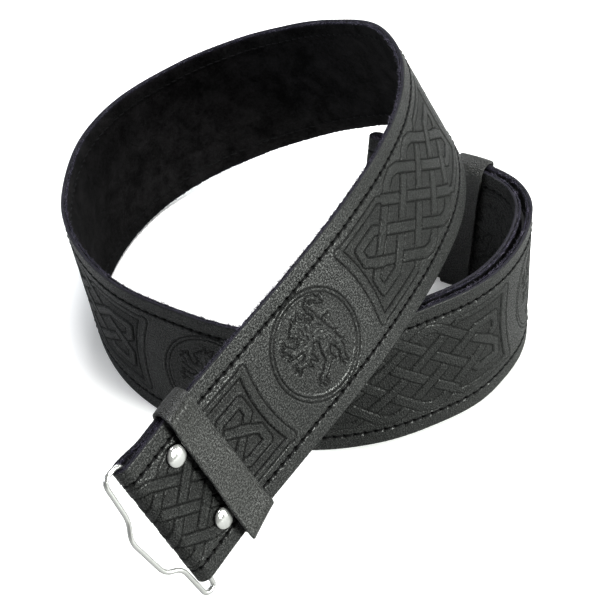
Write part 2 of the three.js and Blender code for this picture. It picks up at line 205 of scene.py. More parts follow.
# Lines cut into the lion: locks of the mane, ribs, shoulder, thigh, legs and eye
LION_LINES = (
    (-3.5, 8.6, -3.9, 6.2), (-1.5, 9.0, -2.2, 6.3), (0.4, 9.0, -0.3, 6.4), (-2.9, 6.0, -3.7, 3.7),
    (-0.9, 6.0, -1.5, 3.5), (1.0, 5.9, 0.7, 3.4), (-0.7, 12.4, 0.7, 10.8), (-2.2, 11.0, -1.7, 9.4),
    (-4.1, 12.0, -3.4, 12.1), (-6.1, 9.8, -4.1, 10.1), (-5.2, 1.9, -3.2, 1.0),
    (-3.2, 1.0, -1.4, 1.8), (2.2, 1.7, 3.2, -0.7), (3.2, -0.7, 6.2, -1.6), (2.8, 7.0, 5.2, 5.6),
    (5.2, 5.6, 6.2, 3.4), (6.2, -4.4, 6.9, -7.2), (1.8, -4.8, 1.4, -7.2), (-8.7, 5.4, -9.7, 7.5),
    (-6.8, -1.1, -9.0, -0.4), (3.2, 3.6, 4.8, 2.6), (-0.2, -9.3, -3.0, -10.7),
    (5.9, 12.8, 6.6, 14.8), (8.2, 14.8, 9.9, 12.4),
)


# Route of the belt, and places on it

def through_points(points, shares):
    """Centripetal curve through points, as in the solids"""
    count = len(points)
    padded = np.vstack([2 * points[0] - points[1], points, 2 * points[-1] - points[-2]])
    place = np.clip(shares, 0, 1) * (count - 1)
    index = np.minimum(place.astype(int), count - 2)
    w = (place - index)[:, None]
    p0, p1, p2, p3 = (padded[index + step] for step in range(4))
    g0, g1, g2 = (np.sum((b - a) ** 2, axis=1)[:, None] ** 0.25
                  for a, b in ((p0, p1), (p1, p2), (p2, p3)))
    t1 = ((p1 - p0) / g0 - (p2 - p0) / (g0 + g1) + (p2 - p1) / g1) * g1
    t2 = ((p2 - p1) / g1 - (p3 - p1) / (g1 + g2) + (p3 - p2) / g2) * g1
    return p1 + t1 * w + (3 * (p2 - p1) - 2 * t1 - t2) * w ** 2 + (2 * (p1 - p2) + t1 + t2) * w ** 3


def through_values(values, shares):
    """Even curve through single values"""
    count = len(values)
    place = np.clip(shares, 0, 1) * (count - 1)
    index = np.minimum(place.astype(int), count - 2)
    w = place - index
    p0, p1 = values[np.maximum(index - 1, 0)], values[index]
    p2, p3 = values[index + 1], values[np.minimum(index + 2, count - 1)]
    v0, v1 = (p2 - p0) / 2, (p3 - p1) / 2
    return ((2 * p1 - 2 * p2 + v0 + v1) * w ** 3 + (3 * (p2 - p1) - 2 * v0 - v1) * w ** 2
            + v0 * w + p1)


def unit(rows):
    return rows / np.linalg.norm(rows, axis=1)[:, None]


def route_frames():
    shares = np.linspace(0, 1, 7001)
    foot_points = np.stack([
        ROUTE[:, 0] * COIL_WIDTH,
        ROUTE[:, 1] * COIL_DEPTH,
        ROUTE[:, 2] * BELT_WIDTH + ROUTE[:, 3] * KEEPER_LIFT,
    ], axis=1)
    foot = through_points(foot_points, shares)
    lean = np.radians(through_values(ROUTE[:, 4], shares))[:, None]
    middle = foot.copy()
    middle[:, 2] += BELT_WIDTH / 2 * np.cos(lean[:, 0]) + BELT_WALL / 2 * np.abs(np.sin(lean[:, 0]))
    ahead = unit(np.gradient(middle, axis=0))
    level = unit(np.array([0, 0, 1]) - ahead * ahead[:, 2:])
    upward = level * np.cos(lean) + np.cross(ahead, level) * np.sin(lean)
    outward = np.cross(ahead, upward)
    steps = np.linalg.norm(np.diff(foot, axis=0), axis=1)
    along = np.concatenate([[0], np.cumsum(steps)])
    return along, middle, ahead, upward, outward


ALONG, MIDDLE, AHEAD, UPWARD, OUTWARD = route_frames()
ROUTE_LENGTH = ALONG[-1]


def place(along, out, across):
    """Points, in millimetres of the route's own frame, from distances on the belt"""
    along, out, across = np.broadcast_arrays(along, out, across)
    on_route = np.clip(along, 0, ROUTE_LENGTH)
    look = [np.stack([np.interp(on_route, ALONG, rows[:, k]) for k in range(3)], axis=-1)
            for rows in (MIDDLE, AHEAD, UPWARD, OUTWARD)]
    middle, ahead, upward, outward = look
    return (middle + ahead * (along - on_route)[..., None] + outward * out[..., None]
            + upward * across[..., None])


def frame_shift():
    """What the solids' frame adds to the route's own frame"""
    along = np.linspace(0, ROUTE_LENGTH, 1500)
    corners = np.concatenate([
        place(along, out, across) for out in (BELT_WALL / 2, BELT_WALL / 2 - LEATHER_WALL)
        for across in (-BELT_WIDTH / 2, BELT_WIDTH / 2)
    ])
    low, high = (np.array(corner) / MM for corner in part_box("strap"))
    return np.array([
        (low[0] + high[0]) / 2 - (corners[:, 0].min() + corners[:, 0].max()) / 2,
        high[1] - corners[:, 1].max(),
        high[2] - corners[:, 2].max(),
    ])


SHIFT = frame_shift()


def metres(points):
    return (points + SHIFT) * MM


def layer_path(travel, layer_out):
    """The way of one layer through both folds: along, out, outward direction"""
    travel = np.asarray(travel, float)
    near_turn = layer_out - TAB_CENTRE
    far_turn = layer_out - TAIL_CENTRE
    along = travel.copy()
    out = np.full(travel.shape, layer_out)
    turn_along = np.zeros(travel.shape)
    turn_out = np.ones(travel.shape)

    angle = np.clip(-travel / near_turn, 0, math.pi)
    folded = travel < 0
    past = np.clip(-travel - math.pi * near_turn, 0, None)
    share = np.clip(past / (STUD_ALONG - STUD_CAP_DIAMETER / 2), 0, 1)
    drop = share * share * (3 - 2 * share) * (FOLD_GAP - TAB_SQUEEZE)
    along = np.where(folded, past - near_turn * np.sin(angle), along)
    out = np.where(folded, TAB_CENTRE + near_turn * np.cos(angle) + drop, out)
    turn_along = np.where(folded, -np.sin(angle), turn_along)
    turn_out = np.where(folded, np.cos(angle), turn_out)

    over = travel - ROUTE_LENGTH
    angle = np.clip(over / far_turn, 0, math.pi)
    folded = over > 0
    past = np.clip(over - math.pi * far_turn, 0, None)
    along = np.where(folded, ROUTE_LENGTH + far_turn * np.sin(angle) - past, along)
    out = np.where(folded, TAIL_CENTRE + far_turn * np.cos(angle), out)
    turn_along = np.where(folded, np.sin(angle), turn_along)
    turn_out = np.where(folded, np.cos(angle), turn_out)
    return along, out, turn_along, turn_out


def travel_ends(layer_out):
    near_turn = layer_out - TAB_CENTRE
    far_turn = layer_out - TAIL_CENTRE
    return -math.pi * near_turn - TAB_LENGTH, ROUTE_LENGTH + math.pi * far_turn + TAIL_LENGTH


def on_layer(travel, across, depth, layer_out):
    """Points in metres on a layer: travel along it, across its width, depth out of its middle"""
    along, out, turn_along, turn_out = layer_path(travel, layer_out)
    return metres(place(along + turn_along * depth, out + turn_out * depth, across))


# The pressed artwork

def smooth(value):
    value = np.clip(value, 0, 1)
    return value * value * (3 - 2 * value)


def to_segment(x, y, ends):
    x0, y0, x1, y1 = ends
    dx, dy = x1 - x0, y1 - y0
    share = np.clip(((x - x0) * dx + (y - y0) * dy) / (dx * dx + dy * dy + 1e-9), 0, 1)
    return np.hypot(x - x0 - share * dx, y - y0 - share * dy), share


# Knotwork: its grid of nodes, the half widths of its bands and the half size of its ground
COLUMN = 9.0
ROW = 6.83
TOP = 20.5
BAND = 2.15
SIDE_BORDER = 1.3
END_BORDER = 1.95
HOOK_BAND = 1.9
PANEL_REACH = 52.5
GROUND_HALF_WIDTH = 17.3
GROUND_HALF_LENGTH = 46.8
GROUND_HOLLOW = 120.0

# Ovals round a lion: half length, half width and mean radius of each
OVALS = ((20.1, 21.3, 20.6), (18.5, 19.7, 19.0))
OVAL_REACH = 21.0
OVAL_GROUND = (18.4, 19.6)

# Pressed face: how far off a place without a line counts, soft edges, and the depth of each part
NO_LINE = 9.0
BAND_EDGE = 0.55
LION_EDGE = 0.9
LINE_HALF_WIDTH = 0.5
LINE_DEPTH = 0.36
GROUND_DEPTH = 0.22
BAND_LIFT = 0.10
LIP_LIFT = 0.07
GROOVE_DEPTH = 0.06
HOLE_DEPTH = 0.35
DEEPEST = 0.4


def knot_bands():
    """Straight pieces of the knot's bands in one panel: x0, y0, x1, y1, half width"""
    def node(column, row):
        return column * COLUMN, TOP - row * ROW

    pieces = []
    for column in range(-3, 3):
        for row in range(1, 6):
            if (column + row) % 2 == 0:
                continue
            if row < 5:
                pieces.append((*node(column, row), *node(column + 1, row + 1), BAND))
            if row > 1:
                pieces.append((*node(column, row), *node(column + 1, row - 1), BAND))
    for column in (-1, 1):
        x = column * COLUMN
        arch = [(x - 9, TOP - ROW), (x - 4.6, 17.0), (x, 18.3), (x + 4.6, 17.0), (x + 9, TOP - ROW)]
        for a, b in zip(arch, arch[1:]):
            pieces.append((*a, *b, BAND))
            pieces.append((a[0], -a[1], b[0], -b[1], BAND))
    hooks = (
        ((-27, 6.84), (-31, 10.4), (-41.6, 10.4), (-41.6, 4.4), (-36.6, 0.0), (-27, -6.84)),
        ((-27, 6.84), (-36.6, 0.0), (-41.6, -3.6), (-41.6, -9.6), (-31, -9.6), (-27, -6.84)),
    )
    side = ((-18, 13.67), (-22.5, 17.3), (-49.4, 17.3))
    lower_side = ((-49.4, -17.3), (-22.5, -17.3), (-18, -13.67))
    end_arc = ((-49.2, 17.3), (-48.0, 12), (-47.1, 6), (-46.8, 0), (-47.1, -6), (-48.0, -12),
               (-49.2, -17.3))
    ways = ((hooks[0], HOOK_BAND), (hooks[1], HOOK_BAND), (side, SIDE_BORDER),
            (lower_side, SIDE_BORDER), (end_arc, END_BORDER))
    for way, half in ways:
        for a, b in zip(way, way[1:]):
            pieces.append((*a, *b, half))
            pieces.append((-a[0], -a[1], -b[0], -b[1], half))
    return pieces


def knot_crossings():
    """Places where one band lies over another: x, y and which way the upper one goes"""
    places = [(-36.6, 0.0, -1), (36.6, 0.0, -1)]
    for column in range(-3, 4):
        for row in range(1, 6):
            if (column + row) % 2:
                places.append((column * COLUMN, TOP - row * ROW, -1 if row % 2 else 1))
    return places


KNOT_BANDS = knot_bands()
KNOT_CROSSINGS = knot_crossings()


def press_panel(x, y):
    """Distance to the nearest line and height of the knot's bands, in one panel"""
    edge = np.full(x.shape, NO_LINE)
    for x0, y0, x1, y1, half in KNOT_BANDS:
        distance, _ = to_segment(x, y, (x0, y0, x1, y1))
        edge = np.minimum(edge, distance - half)
    line = np.abs(edge)
    rise = smooth(-edge / BAND_EDGE)
    reach = BAND * 1.32
    slope = math.hypot(COLUMN, ROW)
    for cx, cy, way in KNOT_CROSSINGS:
        ux, uy = COLUMN / slope, way * ROW / slope
        forth = (x - cx) * ux + (y - cy) * uy
        aside = np.abs(-(x - cx) * uy + (y - cy) * ux)
        here = np.abs(forth) < reach
        inside = here & (aside < BAND)
        beside = here & (aside >= BAND) & (aside < BAND + 1.6)
        line = np.where(inside, BAND - aside, line)
        line = np.where(beside, np.minimum(line, aside - BAND), line)
        rise = np.where(beside, rise * (0.45 + 0.55 * smooth((aside - BAND) / 1.5)), rise)
        rise = np.where(inside, smooth((BAND - aside) / BAND_EDGE), rise)
    return line, rise


def press_medallion(x, y):
    """Distance to the nearest line and height of the lion, in one oval"""
    ring = np.minimum(*(np.abs(np.hypot(x / half_length, y / half_width) - 1) * radius
                        for half_length, half_width, radius in OVALS))
    body = np.full(x.shape, NO_LINE)
    for x0, y0, r0, x1, y1, r1 in LION:
        distance, share = to_segment(x, y, (x0, y0, x1, y1))
        body = np.minimum(body, distance - (r0 + (r1 - r0) * share))
    line = np.abs(body)
    for ends in LION_LINES:
        distance, _ = to_segment(x, y, ends)
        line = np.where(body < 0, np.minimum(line, distance + 0.08), line)
    return np.minimum(ring, line + 0.05), smooth(-body / LION_EDGE)


def emboss(travel, across):
    """Depth of the pressed face, its lines, how far its ground is sunk, and its panels"""
    x, y = np.meshgrid(travel, across, indexing="ij")
    line = np.full(x.shape, NO_LINE)
    sunk, lift, panel = (np.zeros(x.shape) for _ in range(3))
    for left, right in zip(MEDALLIONS, MEDALLIONS[1:]):
        centre, scale = (left + right) / 2, (right - left) / PANEL_PITCH
        rows = np.nonzero(np.abs(travel - centre) < PANEL_REACH * scale)[0]
        if len(rows):
            span = slice(rows[0], rows[-1] + 1)
            px, py = (x[span] - centre) / scale, y[span]
            near, rise = press_panel(px, py)
            inward = np.minimum(GROUND_HALF_WIDTH - np.abs(py),
                                GROUND_HALF_LENGTH + py * py / GROUND_HOLLOW - np.abs(px))
            within = inward > 0
            panel[span] = np.maximum(panel[span], smooth((inward + 1.5) / 2.0))
            line[span] = np.minimum(line[span], near)
            sunk[span] = np.where(within, 1 - rise, 0)
            lift[span] = np.maximum(lift[span], rise * 0.35)
    for centre in MEDALLIONS:
        rows = np.nonzero(np.abs(travel - centre) < OVAL_REACH)[0]
        if len(rows):
            span = slice(rows[0], rows[-1] + 1)
            px, py = x[span] - centre, y[span]
            near, rise = press_medallion(px, py)
            line[span] = np.minimum(line[span], near)
            inside = smooth((1 - np.hypot(px / OVAL_GROUND[0], py / OVAL_GROUND[1])) * 12)
            panel[span] = np.maximum(panel[span], 0.4 * inside)
            sunk[span] = np.maximum(sunk[span], 0.5 * inside * (1 - rise))
            lift[span] = np.maximum(lift[span], rise)
    press = smooth(1 - line / LINE_HALF_WIDTH)
    lip = np.exp(-((line - 0.8) / 0.32) ** 2)

    from_seam = np.abs(np.abs(y) - STITCH_LINE)
    pitch = bpy.context.scene.belt_work.stitch_pitch / MM
    to_hole = np.abs((x / pitch) % 1 - 0.5) * pitch
    groove = np.exp(-(from_seam / 0.34) ** 2)
    hole = smooth((1 - to_hole / 1.6 - from_seam / 1.1) * 2.8)
    # The stitch grooves and holes join the pressed lines, and so also get the painted shade that
    # the leather's colour lays on pressed lines
    press = np.maximum(press, np.maximum(0.7 * groove, hole))
    depth = (LINE_DEPTH * press + GROUND_DEPTH * sunk - BAND_LIFT * lift - LIP_LIFT * lip
             + GROOVE_DEPTH * groove + HOLE_DEPTH * hole)
    return depth, press, sunk, panel


# Making pieces

WELD_DISTANCE = 1e-6
UV_SPAN = 100.0  # millimetres of leather to one unit of the flat map


def clear_selection():
    if bpy.context.object and bpy.context.object.mode != "OBJECT":
        bpy.ops.object.mode_set(mode="OBJECT")
    bpy.ops.object.select_all(action="DESELECT")


def select_only(piece):
    clear_selection()
    piece.select_set(True)
    bpy.context.view_layer.objects.active = piece


def grid_piece(name, points, uv, attributes):
    """A grid primitive laid over rows of points, its long sides welded and its ends filled"""
    rows, columns = points.shape[:2]
    clear_selection()
    bpy.ops.mesh.primitive_grid_add(x_subdivisions=columns - 1, y_subdivisions=rows - 1, size=2)
    piece = bpy.context.object
    piece.name = name
    mesh = piece.data
    flat = np.empty(len(mesh.vertices) * 3)
    mesh.vertices.foreach_get("co", flat)
    flat = flat.reshape(-1, 3)
    column = np.rint((flat[:, 0] + 1) / 2 * (columns - 1)).astype(int)
    row = np.rint((flat[:, 1] + 1) / 2 * (rows - 1)).astype(int)
    mesh.vertices.foreach_set("co", points[row, column].reshape(-1))
    corners = np.empty(len(mesh.loops), dtype=np.int32)
    mesh.loops.foreach_get("vertex_index", corners)
    mesh.uv_layers[0].name = "Flat"
    flat_uv = uv[row[corners], column[corners]].reshape(-1).astype(np.float32)
    mesh.uv_layers[0].data.foreach_set("uv", flat_uv)
    for key, values in attributes.items():
        layer = mesh.attributes.new(key, "FLOAT", "POINT")
        layer.data.foreach_set("value", values[row, column].astype(np.float32))
    mesh.update()
    bpy.ops.object.mode_set(mode="EDIT")
    bpy.ops.mesh.select_all(action="SELECT")
    bpy.ops.mesh.remove_doubles(threshold=WELD_DISTANCE)
    bpy.ops.mesh.select_all(action="DESELECT")
    bpy.ops.mesh.select_mode(type="EDGE")
    bpy.ops.mesh.select_non_manifold()
    bpy.ops.mesh.fill_holes(sides=0)
    bpy.ops.mesh.select_all(action="SELECT")
    bpy.ops.mesh.normals_make_consistent(inside=False)
    bpy.ops.object.mode_set(mode="OBJECT")
    bpy.ops.object.shade_smooth()
    return piece


def finish_piece(piece, body, slot, material, *nodes):
    """Gives a piece its material and its place in the frame"""
    piece.data.materials.clear()
    piece.data.materials.append(material_named(material))
    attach(piece, body)
    if nodes:
        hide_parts(*nodes)


def strip_map(travel, across):
    """Flat map of a strip: along it and across it"""
    return np.stack([travel / UV_SPAN, np.tile(across / UV_SPAN, (len(travel), 1))], axis=-1)


def strip_columns(half_width, wall, columns):
    """Way round a strip's section from the middle of its back: across, depth, raw edge"""
    bevel = 0.32
    face = np.linspace(half_width - bevel, bevel - half_width, columns)
    back = wall / 2
    upper = [
        (0.0, -back, 0), (half_width - 3, -back, 0), (half_width - bevel, -back, 0.6),
        (half_width, -back + bevel, 1), (half_width + 0.05, 0, 1), (half_width, back - bevel, 0.85),
    ]
    lower = [(-across, depth, raw) for across, depth, raw in reversed(upper)]
    rim = np.exp(-(half_width - np.abs(face)) / 0.5) * 0.6
    face_rows = [(across, back, share) for across, share in zip(face, rim)]
    table = np.array(upper + face_rows + lower)
    return table[:, 0], table[:, 1], table[:, 2], slice(len(upper), len(upper) + columns)


def ripple(travel, across, seed):
    """Slow waves in hand-worked leather, in millimetres"""
    return (0.5 * np.sin(travel / 13.0 + seed) * np.sin(across / 9.0 + 1.7 * seed)
            + 0.5 * np.sin(travel / 29.0 + 2 * seed + across / 17.0))


def leather_stretch(name, start, end, step):
    """One stretch of the outer leather, with the artwork pressed into its face"""
    rows = np.linspace(start, end, max(2, int(round((end - start) / step))) + 1)
    columns = int(round(BELT_WIDTH / step))
    across, depth, raw, face = strip_columns(BELT_WIDTH / 2, LEATHER_WALL, columns)
    depths = np.tile(depth, (len(rows), 1))
    sunk_by, press, sunk, panel = emboss(rows, across[face])
    tail_side = smooth((rows - ROUTE_LENGTH) / 4)[:, None]
    tab_side = smooth(-rows / 4)[:, None]
    shallow = 1 - 0.45 * np.maximum(tail_side, tab_side)
    depths[:, face] -= sunk_by * shallow * bpy.context.scene.belt_work.press_depth / (DEEPEST * MM)
    depths[:, face] -= 0.05 * (1 + ripple(rows[:, None], across[face][None, :], 0.6))
    fray = 0.10 * np.sin(rows * 2.9)[:, None] * np.cos(rows * 1.3)[:, None]
    wide = np.tile(across, (len(rows), 1))
    wide = wide - np.sign(wide) * (np.abs(fray) * (raw > 0.5)[None, :])
    travel = np.tile(rows[:, None], (1, len(across)))
    points = on_layer(travel, wide, depths, LEATHER_OUT)
    # The pressed and ground marks also drive painted shade in the leather's colour: near black
    # along the pressed lines, darker over the sunk ground
    marks = {key: np.zeros(travel.shape) for key in ("pressed", "ground", "panel")}
    for key, values in zip(marks, (press, sunk, panel)):
        marks[key][:, face] = values
    marks["raw"] = np.tile(raw, (len(rows), 1))
    uv = np.stack([travel / UV_SPAN, np.tile(np.linspace(0, 1.2, len(across)), (len(rows), 1))],
                  axis=-1)
    uv[:, face, 1] = 0.6 - across[face] / UV_SPAN
    return grid_piece(name, points, uv, marks)


def lining_strip():
    """The suede layer, through both folds"""
    first, last = travel_ends(LINING_OUT)
    rows = np.linspace(first, last, 1500)
    across, depth, raw, _ = strip_columns(BELT_WIDTH / 2 - LINING_TRIM, LINING_WALL, 12)
    travel = np.tile(rows[:, None], (1, len(across)))
    wide = np.tile(across, (len(rows), 1))
    dice = np.random.default_rng(11)
    fray = dice.uniform(-0.22, 0.22, wide.shape) * smooth((np.abs(rows + 4) - 9) / 4)[:, None]
    wide = wide + np.sign(wide) * fray * (raw > 0.5)[None, :]
    points = on_layer(travel, wide, np.tile(depth, (len(rows), 1)), LINING_OUT)
    uv = strip_map(travel, across)
    marks = {"raw": np.tile(raw, (len(rows), 1))}
    return grid_piece("lining_suede", points, uv, marks)


def evenly_spaced(path, count):
    """Points evenly spaced on a path, and how far along it each one lies"""
    steps = np.concatenate([[0], np.cumsum(np.linalg.norm(np.diff(path, axis=0), axis=1))])
    stops = np.linspace(0, steps[-1], count)
    return np.stack([np.interp(stops, steps, path[:, k]) for k in range(2)], axis=1), stops


def closed_directions(path):
    """Direction ahead at each point of a closed path"""
    ahead = np.roll(path[:-1], -1, axis=0) - np.roll(path[:-1], 1, axis=0)
    return unit(np.vstack([ahead, ahead[:1]]))


def band_outline(inner, outer, half_width, radius, corner_points):
    """Rounded outline of a keeper: out, across"""
    arc = np.linspace(0, math.pi / 2, corner_points)
    corners = (
        (outer - radius, half_width - radius, 0.0),
        (inner + radius, half_width - radius, math.pi / 2),
        (inner + radius, radius - half_width, math.pi),
        (outer - radius, radius - half_width, 1.5 * math.pi),
    )
    points = [np.stack([out + radius * np.cos(turn + arc), across + radius * np.sin(turn + arc)],
                       axis=1)
              for out, across, turn in corners]
    return evenly_spaced(np.concatenate(points + [points[0][:1]]), 301)


def keeper_band(name, middle_along, inner_face, seed, flare):
    """A leather band round the belt, with long edges rounded by use"""
    inner = inner_face - KEEPER_SLACK - KEEPER_WALL / 2
    outer = BELT_WALL / 2 + KEEPER_SLACK + KEEPER_WALL / 2
    half = BELT_WIDTH / 2 + KEEPER_SLACK + KEEPER_WALL / 2 + KEEPER_EASE
    ring, stops = band_outline(inner, outer, half, KEEPER_ROLL, 9)
    ahead = closed_directions(ring)
    normal = np.stack([ahead[:, 1], -ahead[:, 0]], axis=1)

    half_band, half_wall, edge = KEEPER_WIDTH / 2, KEEPER_WALL / 2, KEEPER_EDGE
    face = np.linspace(edge - half_band, half_band - edge, 27)
    turn = np.linspace(0, math.pi, 9)[1:-1]
    right = [(half_band - edge + edge * math.sin(a), half_wall * math.cos(a)) for a in turn]
    left = [(-along, -height) for along, height in right]
    section = [(along, half_wall) for along in face] + right
    section += [(-along, -half_wall) for along in face] + left
    section = np.array(section + section[:1])
    raw = np.clip(1 - (half_band - np.abs(section[:, 0])) / 0.9, 0, 1)

    along = middle_along + section[:, 0][:, None] + 0 * stops[None, :]
    wave = 0.10 * np.sin(stops / 5.1 + seed) + 0.07 * np.sin(stops / 2.3 + 2 * seed)
    along = along + (wave[None, :] * (np.abs(section[:, 0]) > half_band - 1.2)[:, None])
    dish = 0.16 * (section[:, 0] / half_band) ** 2 * (section[:, 1] > 0)
    height = section[:, 1] - dish + 0.04
    swell = KEEPER_SWELL * np.clip((np.abs(ring[:, 1]) - half * 0.5) / (half * 0.5), 0, 1) ** 2
    wire_side = (1 - section[:, 0] / half_band)[:, None] / 2
    low = smooth(0.5 - ring[:, 1] / (2 * half))[None, :]
    front = smooth(ring[:, 0] / outer)
    tilt = wire_side * (FLARE_LIFT[0] + FLARE_LIFT[1] * flare * low)
    out = ring[:, 0][None, :] + (swell[None, :] + tilt + KEEPER_REST) * front[None, :]
    out = out + normal[:, 0][None, :] * height[:, None]
    across = ring[:, 1][None, :] + normal[:, 1][None, :] * height[:, None]
    bottom = smooth((-ring[:, 1] / half - 0.8) / 0.2)[None, :]
    share = flare * wire_side ** 1.5
    across = across - FLARE_HANG * share * bottom * (0.4 + 0.6 * front[None, :])
    along = along - share * front[None, :] * (FLARE_SLIP[0] + FLARE_SLIP[1] * low)
    points = metres(place(along, out, across))
    points[..., 2] = np.maximum(points[..., 2], TABLE_CLEARANCE)
    uv = np.stack([np.tile(section[:, 0][:, None], (1, len(stops))) / UV_SPAN + seed,
                   np.tile(stops / UV_SPAN, (len(section), 1))], axis=-1)
    # Share of the rolled corners: there the keeper is rougher, has less coat, and gets painted
    # shade in its colour
    corner = np.exp(-(np.abs(np.abs(ring[:, 1]) - half) / 2.2))
    marks = {"raw": np.tile(raw[:, None], (1, len(stops))),
             "rolled_corner": np.tile(corner, (len(section), 1))}
    return grid_piece(name, points, uv, marks)


def wire_outline():
    """Middle line of the wire in the plane of the fold: across the belt, and along it"""
    upper = BELT_WIDTH / 2 + LOOP_UPPER_GAP + WIRE_DIAMETER / 2
    lower = BELT_WIDTH / 2 + LOOP_LOWER_GAP + WIRE_DIAMETER / 2
    corners = [np.array([across * (upper if across > 0 else lower), -reach * LOOP_REACH])
               for across, reach in LOOP_CORNERS]
    path = [np.zeros(2)]
    for index, corner in enumerate(corners):
        before, after = corners[index - 1], corners[(index + 1) % len(corners)]
        to_before, to_after = np.linalg.norm(before - corner), np.linalg.norm(after - corner)
        cut = min(LOOP_CORNER, to_before / 2, to_after / 2)
        entry = corner + (before - corner) / to_before * cut
        leave = corner + (after - corner) / to_after * cut
        for share in np.linspace(0, 1, 9):
            path.append((1 - share) ** 2 * entry + 2 * share * (1 - share) * corner
                        + share ** 2 * leave)
    return evenly_spaced(np.array(path + [path[0]]), 241)


def wire_piece():
    path, stops = wire_outline()
    ahead = closed_directions(path)
    angle = np.linspace(0, 2 * math.pi, 19)
    radius = WIRE_DIAMETER / 2
    in_plane, off_plane = radius * np.cos(angle)[:, None], radius * np.sin(angle)[:, None]
    across = path[:, 0][None, :] - ahead[:, 1][None, :] * in_plane
    along = path[:, 1][None, :] + ahead[:, 0][None, :] * in_plane
    points = metres(place(along, TAB_CENTRE + off_plane, across))
    uv = np.stack([np.tile(angle[:, None] / 30, (1, len(stops))),
                   np.tile(stops / UV_SPAN, (len(angle), 1))], axis=-1)
    return grid_piece("wire_loop_bright", points, uv, {})


# Shared effects

class Effect:
    """A node group with named sockets, filled in by the maker that uses it"""

    def __init__(self, name, inputs, outputs):
        self.tree = bpy.data.node_groups.new(name, "ShaderNodeTree")
        kinds = {"vector": "NodeSocketVector", "value": "NodeSocketFloat",
                 "colour": "NodeSocketColor"}
        for label, kind, default in inputs:
            socket = self.tree.interface.new_socket(name=label, in_out="INPUT",
                                                    socket_type=kinds[kind])
            if default is not None:
                socket.default_value = default
        for label, kind in outputs:
            self.tree.interface.new_socket(name=label, in_out="OUTPUT", socket_type=kinds[kind])
        self.source = self.tree.nodes.new("NodeGroupInput")
        self.sink = self.tree.nodes.new("NodeGroupOutput")

    def give(self, label, socket):
        self.tree.links.new(socket, self.sink.inputs[label])


def feed(tree, target, value):
    """Joins a socket to a target socket, or sets a plain value on it"""
    if isinstance(value, bpy.types.NodeSocket):
        tree.links.new(value, target)
    elif value is not None:
        target.default_value = value


def add_node(tree, kind, settings=None, **inputs):
    node = tree.nodes.new(kind)
    for key, value in (settings or {}).items():
        setattr(node, key, value)
    for label, value in inputs.items():
        feed(tree, node.inputs[label.replace("_", " ")], value)
    return node


def maths(tree, operation, first, second=None, third=None, clamp=False):
    node = tree.nodes.new("ShaderNodeMath")
    node.operation = operation
    node.use_clamp = clamp
    for target, value in zip(node.inputs, (first, second, third)):
        feed(tree, target, value)
    return node.outputs["Value"]


def remap(tree, value, low, high, to_low, to_high):
    node = tree.nodes.new("ShaderNodeMapRange")
    node.clamp = True
    for label, number in (("From Min", low), ("From Max", high), ("To Min", to_low),
                          ("To Max", to_high)):
        node.inputs[label].default_value = number
    feed(tree, node.inputs["Value"], value)
    return node.outputs["Result"]


def blend_colours(tree, share, first, second, way="MIX"):
    node = tree.nodes.new("ShaderNodeMix")
    node.data_type = "RGBA"
    node.blend_type = way
    feed(tree, node.inputs[0], share)
    feed(tree, node.inputs[6], first)
    feed(tree, node.inputs[7], second)
    return node.outputs[2]


def grey(value):
    return value, value, value, 1


def laid_over(tree, under, mask, strength, over):
    """Lays one colour over another where a mask shows"""
    return blend_colours(tree, maths(tree, "MULTIPLY", mask, strength), under, over)


def noise(tree, vector, scale, detail, roughness=0.5, distortion=0.0):
    node = add_node(tree, "ShaderNodeTexNoise", None, Vector=vector, Scale=scale, Detail=detail,
                    Roughness=roughness, Distortion=distortion)
    return node.outputs["Fac"]


def make_pebble_effect():
    """Fine leather grain: small domed cells with creases between, over slow unevenness"""
    effect = Effect("Pebbled grain", [("Place", "vector", None), ("Cells", "value", 120.0)],
                    [("Height", "value"), ("Crease", "value"), ("Patch", "value"),
                     ("Sheen", "value")])
    tree, source = effect.tree, effect.source.outputs
    bent = add_node(tree, "ShaderNodeTexNoise", None, Vector=source["Place"], Scale=60.0,
                    Detail=2.0)
    shifted = add_node(tree, "ShaderNodeVectorMath", {"operation": "MULTIPLY_ADD"})
    feed(tree, shifted.inputs[0], bent.outputs["Color"])
    shifted.inputs[1].default_value = (0.006, 0.006, 0.006)
    feed(tree, shifted.inputs[2], source["Place"])
    cells = add_node(tree, "ShaderNodeTexVoronoi", {"feature": "DISTANCE_TO_EDGE"},
                     Vector=shifted.outputs[0], Scale=source["Cells"])
    dome = remap(tree, cells.outputs["Distance"], 0.0, 0.32, 0.0, 1.0)
    fine = noise(tree, source["Place"], 900.0, 3.0, 0.6)
    patch = noise(tree, source["Place"], 14.0, 4.0, 0.6)
    height = maths(tree, "MULTIPLY_ADD", fine, 0.35, maths(tree, "MULTIPLY", dome, 0.75))
    effect.give("Height", height)
    effect.give("Crease", remap(tree, cells.outputs["Distance"], 0.0, 0.09, 1.0, 0.0))
    effect.give("Patch", patch)
    speckle = noise(tree, source["Place"], 150.0, 2.5, 0.75)
    effect.give("Sheen", remap(tree, speckle, 0.49, 0.60, 0.0, 1.0))
    return effect.tree


def make_nap_effect():
    """Suede nap: mottled shade and short soft fibre"""
    effect = Effect("Suede nap", [("Place", "vector", None)],
                    [("Shade", "value"), ("Height", "value")])
    tree, source = effect.tree, effect.source.outputs
    broad = noise(tree, source["Place"], 9.0, 5.0, 0.65, 0.4)
    brushed = noise(tree, source["Place"], 70.0, 4.0, 0.7, 1.2)
    nap = noise(tree, source["Place"], 700.0, 3.0, 0.8)
    shade = maths(tree, "MULTIPLY_ADD", brushed, 0.5, maths(tree, "MULTIPLY", broad, 0.7))
    effect.give("Shade", maths(tree, "MULTIPLY_ADD", nap, 0.35, shade))
    effect.give("Height",
                maths(tree, "MULTIPLY_ADD", nap, 0.8, maths(tree, "MULTIPLY", brushed, 0.3)))
    return effect.tree


